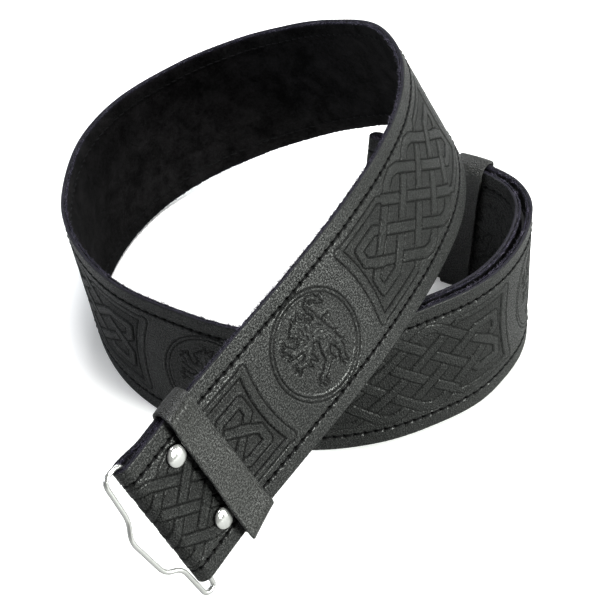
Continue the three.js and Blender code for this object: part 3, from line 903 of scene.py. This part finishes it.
def make_raw_edge_effect():
    """Cut edge of leather: packed fibre in pale and dark flecks"""
    effect = Effect("Raw edge", [("Place", "vector", None)],
                    [("Colour", "colour"), ("Height", "value")])
    tree, source = effect.tree, effect.source.outputs
    fleck = noise(tree, source["Place"], 260.0, 4.0, 0.7, 0.6)
    run = noise(tree, source["Place"], 34.0, 3.0, 0.6)
    dots = add_node(tree, "ShaderNodeTexVoronoi", None, Vector=source["Place"], Scale=190.0)
    dark = remap(tree, dots.outputs["Distance"], 0.10, 0.34, 1.0, 0.0)
    colour = blend_colours(tree, remap(tree, fleck, 0.46, 0.64, 0.0, 1.0),
                           (0.0030, 0.0030, 0.0045, 1),
                           (0.060, 0.054, 0.086, 1))
    colour = blend_colours(tree, remap(tree, run, 0.35, 0.70, 0.0, 0.55), colour,
                           (0.014, 0.013, 0.020, 1))
    colour = laid_over(tree, colour, dark, 0.6, (0.002, 0.002, 0.003, 1))
    effect.give("Colour", colour)
    effect.give("Height", fleck)
    return effect.tree


def use_effect(tree, name, **inputs):
    node = tree.nodes.new("ShaderNodeGroup")
    node.node_tree = bpy.data.node_groups[name]
    for label, value in inputs.items():
        feed(tree, node.inputs[label], value)
    return node.outputs


def new_material(name):
    material = bpy.data.materials.new(name)
    material.use_nodes = True
    tree = material.node_tree
    shader = next(node for node in tree.nodes if node.type == "BSDF_PRINCIPLED")
    return material, tree, shader


def set_shader(tree, shader, **inputs):
    """Feeds the shader's own sockets; an underscore stands for a space in their names"""
    for label, value in inputs.items():
        feed(tree, shader.inputs[label.replace("_", " ")], value)


def object_place(tree):
    return add_node(tree, "ShaderNodeTexCoord").outputs["Object"]


def flat_place(tree):
    return add_node(tree, "ShaderNodeUVMap", {"uv_map": "Flat"}).outputs["UV"]


def mark(tree, name):
    return add_node(tree, "ShaderNodeAttribute", {"attribute_name": name}).outputs["Fac"]


def add_bump(tree, height, strength, distance):
    bump = add_node(tree, "ShaderNodeBump", None, Strength=strength, Distance=distance,
                    Height=height)
    return bump.outputs["Normal"]


def leather_material():
    """Black embossed leather: pebbled, with painted shade in its pressed lines, grain creases and
    sunk ground, and painted sheen on the grain's speckles
    """
    look = bpy.context.scene.belt_look
    material, tree, shader = new_material("Embossed black leather")
    spot = flat_place(tree)
    grain = use_effect(tree, "Pebbled grain", Place=spot, Cells=look.grain_cells)
    edge = use_effect(tree, "Raw edge", Place=spot)
    pressed, ground, raw = mark(tree, "pressed"), mark(tree, "ground"), mark(tree, "raw")
    shade = remap(tree, grain["Patch"], 0.30, 0.70, 0.0, 1.0)
    colour = blend_colours(tree, shade, (0.0040, 0.0044, 0.0042, 1), (0.0075, 0.0082, 0.0076, 1))
    # Painted sheen: a lighter copy of the base colour, laid over the grain's speckle mask
    painted_sheen = blend_colours(tree, shade, (0.0115, 0.0128, 0.0118, 1), (0.0165, 0.0182, 0.0168, 1))
    colour = laid_over(tree, colour, grain["Sheen"], 0.75, painted_sheen)
    # Painted shade: the creases between the grain's pebbles darkened in the base colour
    colour = laid_over(tree, colour, grain["Crease"], 0.5, (0.0015, 0.0015, 0.0016, 1))
    # Painted shade: the sunk ground of the knotwork and the ovals darkened in the base colour
    colour = laid_over(tree, colour, ground, 0.35, grey(0.003))
    # Painted shade: the pressed lines, stitch grooves and stitch holes made near black in the base
    # colour
    colour = laid_over(tree, colour, pressed, 0.92, (0.0005, 0.0005, 0.0006, 1))
    colour = blend_colours(tree, remap(tree, raw, 0.45, 0.85, 0.0, 1.0), colour, edge["Colour"])
    rough = maths(tree, "MULTIPLY_ADD", grain["Crease"], 0.18,
                  remap(tree, grain["Patch"], 0.3, 0.7, 0.50, 0.38))
    rough = maths(tree, "MULTIPLY_ADD", pressed, 0.35, rough)
    rough = maths(tree, "MULTIPLY_ADD", ground, 0.16, rough)
    rough = maths(tree, "MAXIMUM", rough, remap(tree, raw, 0.5, 0.9, 0.0, 0.85))
    dots = add_node(tree, "ShaderNodeTexVoronoi", None, Vector=spot, Scale=75.0)
    dots = maths(tree, "MULTIPLY", remap(tree, dots.outputs["Distance"], 0.12, 0.4, 1.0, 0.0),
                 ground)
    height = maths(tree, "MULTIPLY_ADD", dots, 0.7, grain["Height"])
    bump = add_bump(tree, height, look.grain_depth, 0.0004)
    smooth_spots = maths(tree, "MULTIPLY", grain["Sheen"], maths(tree, "SUBTRACT", 1.0, pressed))
    smooth_spots = maths(tree, "MULTIPLY", smooth_spots,
                         remap(tree, mark(tree, "panel"), 0.0, 1.0, 1.0, 0.42))
    set_shader(
        tree, shader,
        Coat_Weight=maths(tree, "MULTIPLY", smooth_spots, remap(tree, raw, 0.3, 0.7, 1.0, 0.0)),
        Coat_Roughness=0.30,
        Coat_IOR=1.45,
        Base_Color=colour,
        Roughness=rough,
        Normal=bump,
        Specular_IOR_Level=0.26,
    )
    return material


def suede_material():
    material, tree, shader = new_material("Black suede")
    spot = flat_place(tree)
    nap = use_effect(tree, "Suede nap", Place=spot)
    edge = use_effect(tree, "Raw edge", Place=spot)
    raw = mark(tree, "raw")
    shade = remap(tree, nap["Shade"], 0.66, 0.96, 0.0, 1.0)
    colour = blend_colours(tree, shade, (0.0005, 0.0005, 0.0006, 1), (0.0150, 0.0142, 0.0150, 1))
    colour = blend_colours(tree, remap(tree, raw, 0.4, 0.8, 0.0, 1.0), colour, edge["Colour"])
    set_shader(
        tree, shader,
        Base_Color=colour,
        Roughness=remap(tree, nap["Shade"], 0.4, 1.1, 0.95, 0.75),
        Normal=add_bump(tree, nap["Height"], 0.6, 0.00025),
        Specular_IOR_Level=0.06,
        Sheen_Weight=0.01,
        Sheen_Roughness=0.5,
    )
    return material


def keeper_material():
    look = bpy.context.scene.belt_look
    material, tree, shader = new_material("Pebbled keeper leather")
    spot = flat_place(tree)
    grain = use_effect(tree, "Pebbled grain", Place=spot, Cells=look.grain_cells * 1.15)
    raw, rolled_corner = mark(tree, "raw"), mark(tree, "rolled_corner")
    shade = remap(tree, grain["Patch"], 0.35, 0.65, 0.0, 1.0)
    colour = blend_colours(tree, shade, (0.0060, 0.0064, 0.0056, 1), (0.0120, 0.0127, 0.0110, 1))
    # Painted sheen: a lighter colour laid over the grain's speckle mask
    colour = laid_over(tree, colour, grain["Sheen"], 0.7, (0.026, 0.0275, 0.024, 1))
    # Painted shade: the creases between the grain's pebbles darkened in the base colour
    colour = laid_over(tree, colour, grain["Crease"], 0.6, grey(0.002))
    # Painted shade: the rolled corners darkened towards dark brown where the band turns away from
    # the light
    colour = laid_over(tree, colour, rolled_corner, 0.6, (0.004, 0.0034, 0.0024, 1))
    colour = laid_over(tree, colour, raw, 0.6, (0.0025, 0.0025, 0.0028, 1))
    rough = remap(tree, grain["Patch"], 0.3, 0.7, 0.46, 0.32)
    rough = maths(tree, "MULTIPLY_ADD", rolled_corner, 0.10, rough)
    set_shader(
        tree, shader,
        Base_Color=colour,
        Roughness=rough,
        Normal=add_bump(tree, grain["Height"], look.grain_depth, 0.0004),
        Coat_Weight=maths(tree, "MULTIPLY", grain["Sheen"], remap(tree, rolled_corner, 0.0, 0.6, 1.0, 0.1)),
        Coat_Roughness=0.28,
        Coat_IOR=1.5,
        Specular_IOR_Level=0.42,
    )
    return material


def nickel_material():
    material, tree, shader = new_material("Bright nickel plate")
    spot = object_place(tree)
    smear = noise(tree, spot, 260.0, 4.0, 0.6)
    scratch = noise(tree, spot, 2400.0, 2.0, 0.5, 2.0)
    colour = blend_colours(tree, smear, (0.66, 0.66, 0.65, 1), (0.54, 0.54, 0.53, 1))
    # Painted dark reflection: the colour darkens towards grazing angles, giving the wire and studs
    # dark edges
    rim = add_node(tree, "ShaderNodeLayerWeight", None, Blend=0.5).outputs["Facing"]
    colour = blend_colours(tree, remap(tree, rim, 0.45, 0.85, 0.0, 0.85), colour,
                           (0.10, 0.10, 0.095, 1))
    set_shader(
        tree, shader,
        Base_Color=colour,
        Roughness=remap(tree, smear, 0.3, 0.7, 0.06, 0.16),
        Normal=add_bump(tree, scratch, 0.08, 0.0001),
        Metallic=0.7,
    )
    return material


def thread_material():
    material, tree, shader = new_material("Black thread")
    spot = object_place(tree)
    twist = add_node(tree, "ShaderNodeTexWave", {"bands_direction": "DIAGONAL"}, Vector=spot,
                     Scale=900.0,
                     Distortion=1.0)
    fuzz = noise(tree, spot, 3000.0, 2.0)
    colour = blend_colours(tree, fuzz, (0.0010, 0.0010, 0.0012, 1), (0.0045, 0.0045, 0.0052, 1))
    set_shader(
        tree, shader,
        Base_Color=colour,
        Specular_IOR_Level=0.15,
        Roughness=remap(tree, fuzz, 0.3, 0.7, 0.6, 0.85),
        Normal=add_bump(tree, twist.outputs["Fac"], 0.4, 0.0001),
    )
    return material


def pad_material():
    material, tree, shader = new_material("Woven black pad")
    spot = flat_place(tree)
    weave = add_node(tree, "ShaderNodeTexChecker", None, Vector=spot, Scale=160.0)
    fuzz = noise(tree, spot, 500.0, 3.0)
    colour = blend_colours(tree, fuzz, (0.003, 0.003, 0.004, 1), (0.012, 0.012, 0.014, 1))
    set_shader(
        tree, shader,
        Base_Color=colour,
        Roughness=remap(tree, fuzz, 0.3, 0.7, 0.8, 1.0),
    )
    height = maths(tree, "MULTIPLY_ADD", fuzz, 0.6, weave.outputs["Fac"])
    set_shader(
        tree, shader,
        Normal=add_bump(tree, height, 0.5, 0.0002),
    )
    return material


def fibre_material():
    material, tree, shader = new_material("Loose edge fibre")
    spot = object_place(tree)
    tone = noise(tree, spot, 300.0, 2.0)
    colour = blend_colours(tree, remap(tree, tone, 0.4, 0.6, 0.0, 1.0), (0.012, 0.012, 0.018, 1),
                           (0.10, 0.09, 0.13, 1))
    set_shader(
        tree, shader,
        Base_Color=colour,
        Roughness=remap(tree, tone, 0.3, 0.7, 0.8, 0.95),
    )
    return material


def floor_material():
    material, tree, shader = new_material("White table")
    spot = object_place(tree)
    tone = noise(tree, spot, 6.0, 3.0)
    shown = blend_colours(tree, tone, grey(0.94), grey(0.96))
    bounced = blend_colours(tree, tone, grey(0.34), grey(0.36))
    seen = tree.nodes.new("ShaderNodeLightPath").outputs["Is Camera Ray"]
    set_shader(
        tree, shader,
        Base_Color=blend_colours(tree, seen, bounced, shown),
        Roughness=remap(tree, tone, 0.3, 0.7, 0.9, 1.0),
        Emission_Color=blend_colours(tree, seen, grey(0), grey(0.22)),
        Emission_Strength=1.0,
        Specular_IOR_Level=0.0,
    )
    return material


MATERIAL_MAKERS = {
    "Embossed black leather": leather_material,
    "Black suede": suede_material,
    "Pebbled keeper leather": keeper_material,
    "Bright nickel plate": nickel_material,
    "Black thread": thread_material,
    "Woven black pad": pad_material,
    "Loose edge fibre": fibre_material,
    "White table": floor_material,
}


def material_named(name):
    if "Pebbled grain" not in bpy.data.node_groups:
        make_pebble_effect()
        make_nap_effect()
        make_raw_edge_effect()
    return bpy.data.materials.get(name) or MATERIAL_MAKERS[name]()


# Settings

class BeltWork(bpy.types.PropertyGroup):
    press_depth: bpy.props.FloatProperty(
        name="Press depth", description="How deep the artwork's lines are pressed into the leather",
        default=0.0005, min=0.0, max=0.001, subtype="DISTANCE", unit="LENGTH")
    stitch_pitch: bpy.props.FloatProperty(
        name="Stitch pitch", description="Distance from one stitch to the next",
        default=0.0039, min=0.002, max=0.01, subtype="DISTANCE", unit="LENGTH")
    fibre_count: bpy.props.IntProperty(
        name="Loose fibres", description="Number of loose fibres on the cut edges",
        default=5200, min=0, max=8000)


class BeltLook(bpy.types.PropertyGroup):
    grain_cells: bpy.props.FloatProperty(
        name="Grain cells", description="Pebbles of the grain in 100 mm of leather",
        default=105.0, min=20.0, max=300.0, subtype="FACTOR")
    grain_depth: bpy.props.FloatProperty(
        name="Grain strength", description="How strongly the pebbled grain shows",
        default=1.0, min=0.0, max=1.0, subtype="FACTOR")


# Makers of the pieces

# Stretches of the outer leather: name, start and end as stops along it, and the step of the mesh
STOPS = {
    "tab_end": travel_ends(LEATHER_OUT)[0],
    "wire_fold": -1.5,
    "rise_middle": 126.0,
    "rise_end": 262.0,
    "back_end": 430.0,
    "left_end": 600.0,
    "wall_end": ROUTE_LENGTH - 4,
    "tail_end": travel_ends(LEATHER_OUT)[1],
}
STRETCHES = (
    ("strap_tab", "tab_end", "wire_fold", 0.50),
    ("strap_front_lower", "wire_fold", "rise_middle", 0.33),
    ("strap_front_upper", "rise_middle", "rise_end", 0.345),
    ("strap_back", "rise_end", "back_end", 0.80),
    ("strap_left", "back_end", "left_end", 0.50),
    ("strap_right", "left_end", "wall_end", 0.52),
    ("strap_tail", "wall_end", "tail_end", 0.60),
)


class BELT_OT_strap(bpy.types.Operator):
    """Makes the outer leather in stretches, with the knotwork and the lions pressed into it"""
    bl_idname = "belt.make_strap"
    bl_label = "Make strap"

    def execute(self, context):
        for name, start, end, step in STRETCHES:
            piece = leather_stretch(name, STOPS[start], STOPS[end], step)
            select_only(piece)
            bpy.ops.object.shade_smooth_by_angle(angle=math.radians(60))
            finish_piece(piece, "belt", "leather", "Embossed black leather", "strap")
        return {"FINISHED"}


class BELT_OT_lining(bpy.types.Operator):
    """Makes the suede lining"""
    bl_idname = "belt.make_lining"
    bl_label = "Make lining"

    def execute(self, context):
        finish_piece(lining_strip(), "belt", "suede", "Black suede", "lining")
        return {"FINISHED"}


class BELT_OT_keepers(bpy.types.Operator):
    """Makes both leather keepers"""
    bl_idname = "belt.make_keepers"
    bl_label = "Make keepers"

    def execute(self, context):
        stack = -BELT_WALL / 2 - BELT_WALL
        table = (
            ("keeper_front_leather", KEEPER_FRONT_ALONG, stack - TAB_SQUEEZE, 0.3, 1.0,
             "keeper_front"),
            ("keeper_back_leather", ROUTE_LENGTH - KEEPER_BACK_FROM_END, stack - TAIL_GAP, 1.4, 0.2,
             "keeper_back"),
        )
        for name, along, inner_face, seed, flare, node in table:
            piece = keeper_band(name, along, inner_face, seed, flare)
            finish_piece(piece, "belt", "keeper_leather", "Pebbled keeper leather", node)
        return {"FINISHED"}


class BELT_OT_wire(bpy.types.Operator):
    """Makes the bright wire loop in the fold"""
    bl_idname = "belt.make_wire"
    bl_label = "Make wire loop"

    def execute(self, context):
        finish_piece(wire_piece(), "loop", "nickel", "Bright nickel plate", "wire_loop")
        return {"FINISHED"}


def frame_at(along):
    """Middle of the belt's wall at one stop, and its directions ahead, up and out"""
    return (np.array([np.interp(along, ALONG, rows[:, k]) for k in range(3)])
            for rows in (MIDDLE, AHEAD, UPWARD, OUTWARD))


def stud_matrix(across):
    middle, _, upward, outward = frame_at(STUD_ALONG)
    origin = (middle + outward * (BELT_WALL / 2 - TAB_STACK / 2) + upward * across + SHIFT) * MM
    turn = np.eye(4)
    turn[:3] = np.stack([upward, np.cross(outward, upward), outward, origin], axis=1)
    return Matrix(turn.tolist())


def stud_piece(name, across):
    """A press stud: domed cap, shank and flat back, spun about its middle"""
    seat = TAB_STACK / 2 + STUD_SEAT_GAP
    cap, back, shank = STUD_CAP_DIAMETER / 2, STUD_BACK_DIAMETER / 2, STUD_SHANK_DIAMETER / 2
    dome = [(cap * math.cos(a), seat + STUD_CAP_HEIGHT * (0.32 + 0.68 * math.sin(a)))
            for a in np.linspace(0.0, math.pi / 2, 10)][:-1]
    profile = [(0.0, -seat - STUD_BACK_HEIGHT), (back * 0.85, -seat - STUD_BACK_HEIGHT),
               (back, -seat - STUD_BACK_HEIGHT / 2), (back, -seat), (shank, -seat), (shank, seat),
               (cap * 0.94, seat), (cap, seat + 0.12)] + dome + [(0.0, seat + STUD_CAP_HEIGHT)]
    angle = np.linspace(0, 2 * math.pi, 41)
    radius, height = np.array(profile).T
    points = np.stack([
        radius[:, None] * np.cos(angle)[None, :],
        radius[:, None] * np.sin(angle)[None, :],
        np.tile(height[:, None], (1, 41)),
    ], axis=-1) * MM
    uv = points[:, :, :2] * 10
    piece = grid_piece(name, points, uv, {})
    piece.data.transform(stud_matrix(across))
    select_only(piece)
    bpy.ops.object.shade_smooth_by_angle(angle=math.radians(50))
    return piece


class BELT_OT_studs(bpy.types.Operator):
    """Makes the two press studs through the tab"""
    bl_idname = "belt.make_studs"
    bl_label = "Make press studs"

    def execute(self, context):
        for node, across in (("press_stud_upper", STUD_SPACING / 2),
                             ("press_stud_lower", -STUD_SPACING / 2)):
            piece = stud_piece(node + "_bright", across)
            finish_piece(piece, "belt", "nickel", "Bright nickel plate", node)
        return {"FINISHED"}


class BELT_OT_pad(bpy.types.Operator):
    """Makes the pad that holds the tail to the wall"""
    bl_idname = "belt.make_pad"
    bl_label = "Make tail pad"

    def execute(self, context):
        end = ROUTE_LENGTH - PAD_INSET
        rows = np.linspace(end - PAD_LENGTH, end, 90)
        across, depth, _, _ = strip_columns(PAD_WIDTH / 2, TAIL_GAP - 2 * PAD_GAP, 12)
        travel = np.tile(rows[:, None], (1, len(across)))
        points = metres(place(travel, TAIL_CENTRE + depth[None, :], across[None, :]))
        uv = strip_map(travel, across)
        piece = grid_piece("tail_pad_woven", points, uv, {})
        finish_piece(piece, "belt", "pad", "Woven black pad", "tail_pad")
        return {"FINISHED"}


def little_tubes(name, starts, ends, bends, radius, sides, tips):
    """Many short bent tubes in one mesh; tips is their radius at each of five rings"""
    count = len(starts)
    share = np.linspace(0, 1, len(tips))[None, :, None]
    middle = (starts[:, None] * (1 - share) + ends[:, None] * share
              + bends[:, None] * 4 * share * (1 - share))
    ahead = unit(ends - starts)
    aside = unit(np.cross(ahead, bends + [1e-9, 2e-9, 0]))
    other = np.cross(ahead, aside)
    angle = np.linspace(0, 2 * math.pi, sides, endpoint=False)
    ring = (aside[:, None, :] * np.cos(angle)[None, :, None]
            + other[:, None, :] * np.sin(angle)[None, :, None])
    size = (radius * np.array(tips))[None, :, None, None]
    points = middle[:, :, None, :] + ring[:, None, :, :] * size
    vertices = points.reshape(-1, 3)
    faces = []
    per = len(tips) * sides
    ring_pairs = [(r, s) for r in range(len(tips) - 1) for s in range(sides)]
    for index in range(count):
        base = index * per
        for r, s in ring_pairs:
            a, b = base + r * sides + s, base + r * sides + (s + 1) % sides
            faces.append((a, b, b + sides, a + sides))
        faces.append(tuple(base + s for s in reversed(range(sides))))
        faces.append(tuple(base + per - sides + s for s in range(sides)))
    mesh = bpy.data.meshes.new(name)
    mesh.from_pydata(vertices.tolist(), [], faces)
    mesh.update()
    piece = bpy.data.objects.new(name, mesh)
    bpy.context.collection.objects.link(piece)
    select_only(piece)
    bpy.ops.object.mode_set(mode="EDIT")
    bpy.ops.mesh.select_all(action="SELECT")
    bpy.ops.mesh.normals_make_consistent(inside=False)
    bpy.ops.object.mode_set(mode="OBJECT")
    bpy.ops.object.shade_smooth()
    return piece


class BELT_OT_thread(bpy.types.Operator):
    """Lays the stitches along both edges, on the leather and on the suede"""
    bl_idname = "belt.make_thread"
    bl_label = "Make stitches"

    def execute(self, context):
        pitch = context.scene.belt_work.stitch_pitch / MM
        for name, layer_out, face, lift in (
                ("stitches_outside", LEATHER_OUT, LEATHER_WALL / 2, -0.12),
                ("stitches_inside", LINING_OUT, -LINING_WALL / 2, 0.02)):
            inward = -np.sign(face)
            first, last = travel_ends(layer_out)
            middles = np.arange(math.ceil(first / pitch) + 1, math.floor(last / pitch)) * pitch
            travel = np.concatenate([middles, middles])
            across = np.repeat([STITCH_LINE, -STITCH_LINE], len(middles))
            reach = pitch * STITCH_REACH
            depth = np.full(len(travel), face - lift * inward)
            deep = depth + STITCH_SINK * inward
            starts = on_layer(travel - reach, across - STITCH_SLANT, deep, layer_out)
            ends = on_layer(travel + reach, across + STITCH_SLANT, deep, layer_out)
            tops = on_layer(travel, across, depth - STITCH_RISE * inward, layer_out)
            bends = tops - (starts + ends) / 2
            piece = little_tubes(name, starts, ends, bends, THREAD_RADIUS * MM, 6,
                                 (0.5, 0.95, 1.0, 0.95, 0.5))
            finish_piece(piece, "belt", "leather", "Black thread")
        return {"FINISHED"}


class BELT_OT_fibres(bpy.types.Operator):
    """Scatters loose fibres on the cut edges"""
    bl_idname = "belt.make_fibres"
    bl_label = "Make edge fibres"

    def execute(self, context):
        dice = np.random.default_rng(5)
        count = context.scene.belt_work.fibre_count
        first, last = travel_ends(LEATHER_OUT)
        travel = dice.uniform(first + 1, last - 1, count)
        side = np.where(dice.random(count) < 0.8, 1.0, -1.0)
        depth = dice.uniform(-2.0, -0.5, count)
        edge = side * (BELT_WIDTH / 2 - LINING_TRIM - 0.15)
        starts = on_layer(travel, edge, depth, LEATHER_OUT)
        run = dice.normal(0, 0.7, count)
        tuft = 0.55 + 0.45 * np.sin(travel / 1.9) * np.sin(travel / 5.3 + 1)
        rise = np.abs(dice.normal(0, 0.62, count)) * tuft + 0.15
        ends = on_layer(travel + run, edge + side * rise, depth + dice.normal(-0.2, 0.35, count),
                        LEATHER_OUT)
        bends = dice.normal(0, 0.00014, (count, 3))
        free = np.ones(count, bool)
        for along in (KEEPER_FRONT_ALONG, ROUTE_LENGTH - KEEPER_BACK_FROM_END):
            middle, ahead, _, outward = frame_at(along)
            offset = starts / MM - SHIFT - middle
            beyond = np.abs(offset @ ahead) > KEEPER_WIDTH / 2 + FIBRE_FREE_ALONG
            free &= beyond | (np.abs(offset @ outward) > FIBRE_FREE_OUT)
        starts, ends, bends = starts[free], ends[free], bends[free]
        for points in (starts, ends):
            points[:, 2] = np.maximum(points[:, 2], 2 * TABLE_CLEARANCE)
        piece = little_tubes("edge_fibres", starts, ends, bends, FIBRE_RADIUS * MM, 3,
                             (1.0, 0.9, 0.7, 0.3))
        finish_piece(piece, "belt", "suede", "Loose edge fibre")
        return {"FINISHED"}


# Stage

CAMERA_SPOT = (0.00094, -0.49835, 0.50028)
CAMERA_RIGHT = (0.99991, -0.00917, -0.00985)
CAMERA_UP = (0.01345, 0.68139, 0.73180)
CAMERA_BACK = (0.0, -0.73186, 0.68145)
CAMERA_LENS = 103.54

# Soft lights: name, place, aim, size, power in watts, colour
LIGHTS = (
    ("overhead_soft", (0.0, 0.1, 1.2), (0.0, 0.0, 0.03), 0.4, 13.0, (1.0, 1.0, 1.0)),
    ("left_soft", (-1.1, 0.0, 0.35), (0.0, 0.0, 0.03), 0.45, 7.0, (0.90, 0.95, 1.0)),
    ("right_front", (0.9, -0.5, 0.4), (0.0, 0.0, 0.03), 0.40, 21.0, (0.96, 1.0, 0.94)),
    ("right_back", (1.0, 0.4, 0.4), (0.0, 0.0, 0.03), 0.5, 4.0, (0.96, 1.0, 0.95)),
    ("back_high", (0.0, 1.0, 0.7), (0.0, 0.0, 0.03), 0.5, 11.0, (0.94, 0.97, 1.0)),
    ("right_low", (1.1, -0.2, 0.2), (0.0, 0.0, 0.03), 0.35, 3.0, (0.96, 1.0, 0.95)),
)


class BELT_OT_stage(bpy.types.Operator):
    """Sets up the table, the lights and the camera"""
    bl_idname = "belt.make_stage"
    bl_label = "Make stage"

    def execute(self, context):
        clear_selection()
        bpy.ops.mesh.primitive_plane_add(size=6.0, location=(0, 0, 0))
        floor = context.object
        floor.name = "table_top"
        floor.data.materials.append(material_named("White table"))
        for name, spot, aim, size, power, tint in LIGHTS:
            bpy.ops.object.light_add(type="AREA", location=spot)
            light = context.object
            light.name = name
            light.data.size = size
            light.data.energy = power
            light.data.color = tint
            light.rotation_euler = (Vector(spot) - Vector(aim)).to_track_quat("Z", "Y").to_euler()
        bpy.ops.object.camera_add(location=CAMERA_SPOT)
        camera = context.object
        camera.name = "photo_camera"
        turn = Matrix(np.stack([CAMERA_RIGHT, CAMERA_UP, CAMERA_BACK], axis=1).tolist())
        camera.rotation_euler = turn.to_euler()
        camera.data.lens = CAMERA_LENS
        camera.data.sensor_width = 36.0
        camera.data.clip_start = 0.01
        context.scene.camera = camera
        world = bpy.data.worlds.new("Pale room")
        world.use_nodes = True
        backdrop = next(node for node in world.node_tree.nodes if node.type == "BACKGROUND")
        backdrop.inputs["Color"].default_value = (1.0, 1.0, 1.0, 1)
        backdrop.inputs["Strength"].default_value = 0.05
        context.scene.world = world
        context.scene.view_settings.view_transform = "Standard"
        return {"FINISHED"}


class BELT_PT_panel(bpy.types.Panel):
    bl_label = "Kilt belt"
    bl_idname = "BELT_PT_panel"
    bl_space_type = "VIEW_3D"
    bl_region_type = "UI"
    bl_category = "Belt"

    def draw(self, context):
        work, look = context.scene.belt_work, context.scene.belt_look
        for group, names in ((work, ("press_depth", "stitch_pitch", "fibre_count")),
                             (look, ("grain_cells", "grain_depth"))):
            column = self.layout.column()
            for name in names:
                column.prop(group, name)
        for operator in OPERATORS:
            self.layout.operator(operator.bl_idname)


OPERATORS = (
    BELT_OT_strap, BELT_OT_lining, BELT_OT_keepers, BELT_OT_wire, BELT_OT_studs, BELT_OT_pad,
    BELT_OT_thread, BELT_OT_fibres, BELT_OT_stage,
)
CLASSES = (BeltWork, BeltLook) + OPERATORS + (BELT_PT_panel,)


def register():
    for each in CLASSES:
        bpy.utils.register_class(each)
    bpy.types.Scene.belt_work = bpy.props.PointerProperty(type=BeltWork)
    bpy.types.Scene.belt_look = bpy.props.PointerProperty(type=BeltLook)


def unregister():
    del bpy.types.Scene.belt_look
    del bpy.types.Scene.belt_work
    for each in reversed(CLASSES):
        bpy.utils.unregister_class(each)


def main():
    register()
    bpy.ops.belt.make_strap()
    bpy.ops.belt.make_lining()
    bpy.ops.belt.make_keepers()
    bpy.ops.belt.make_wire()
    bpy.ops.belt.make_studs()
    bpy.ops.belt.make_pad()
    bpy.ops.belt.make_thread()
    bpy.ops.belt.make_fibres()
    bpy.ops.belt.make_stage()


if __name__ == "__main__":
    main()
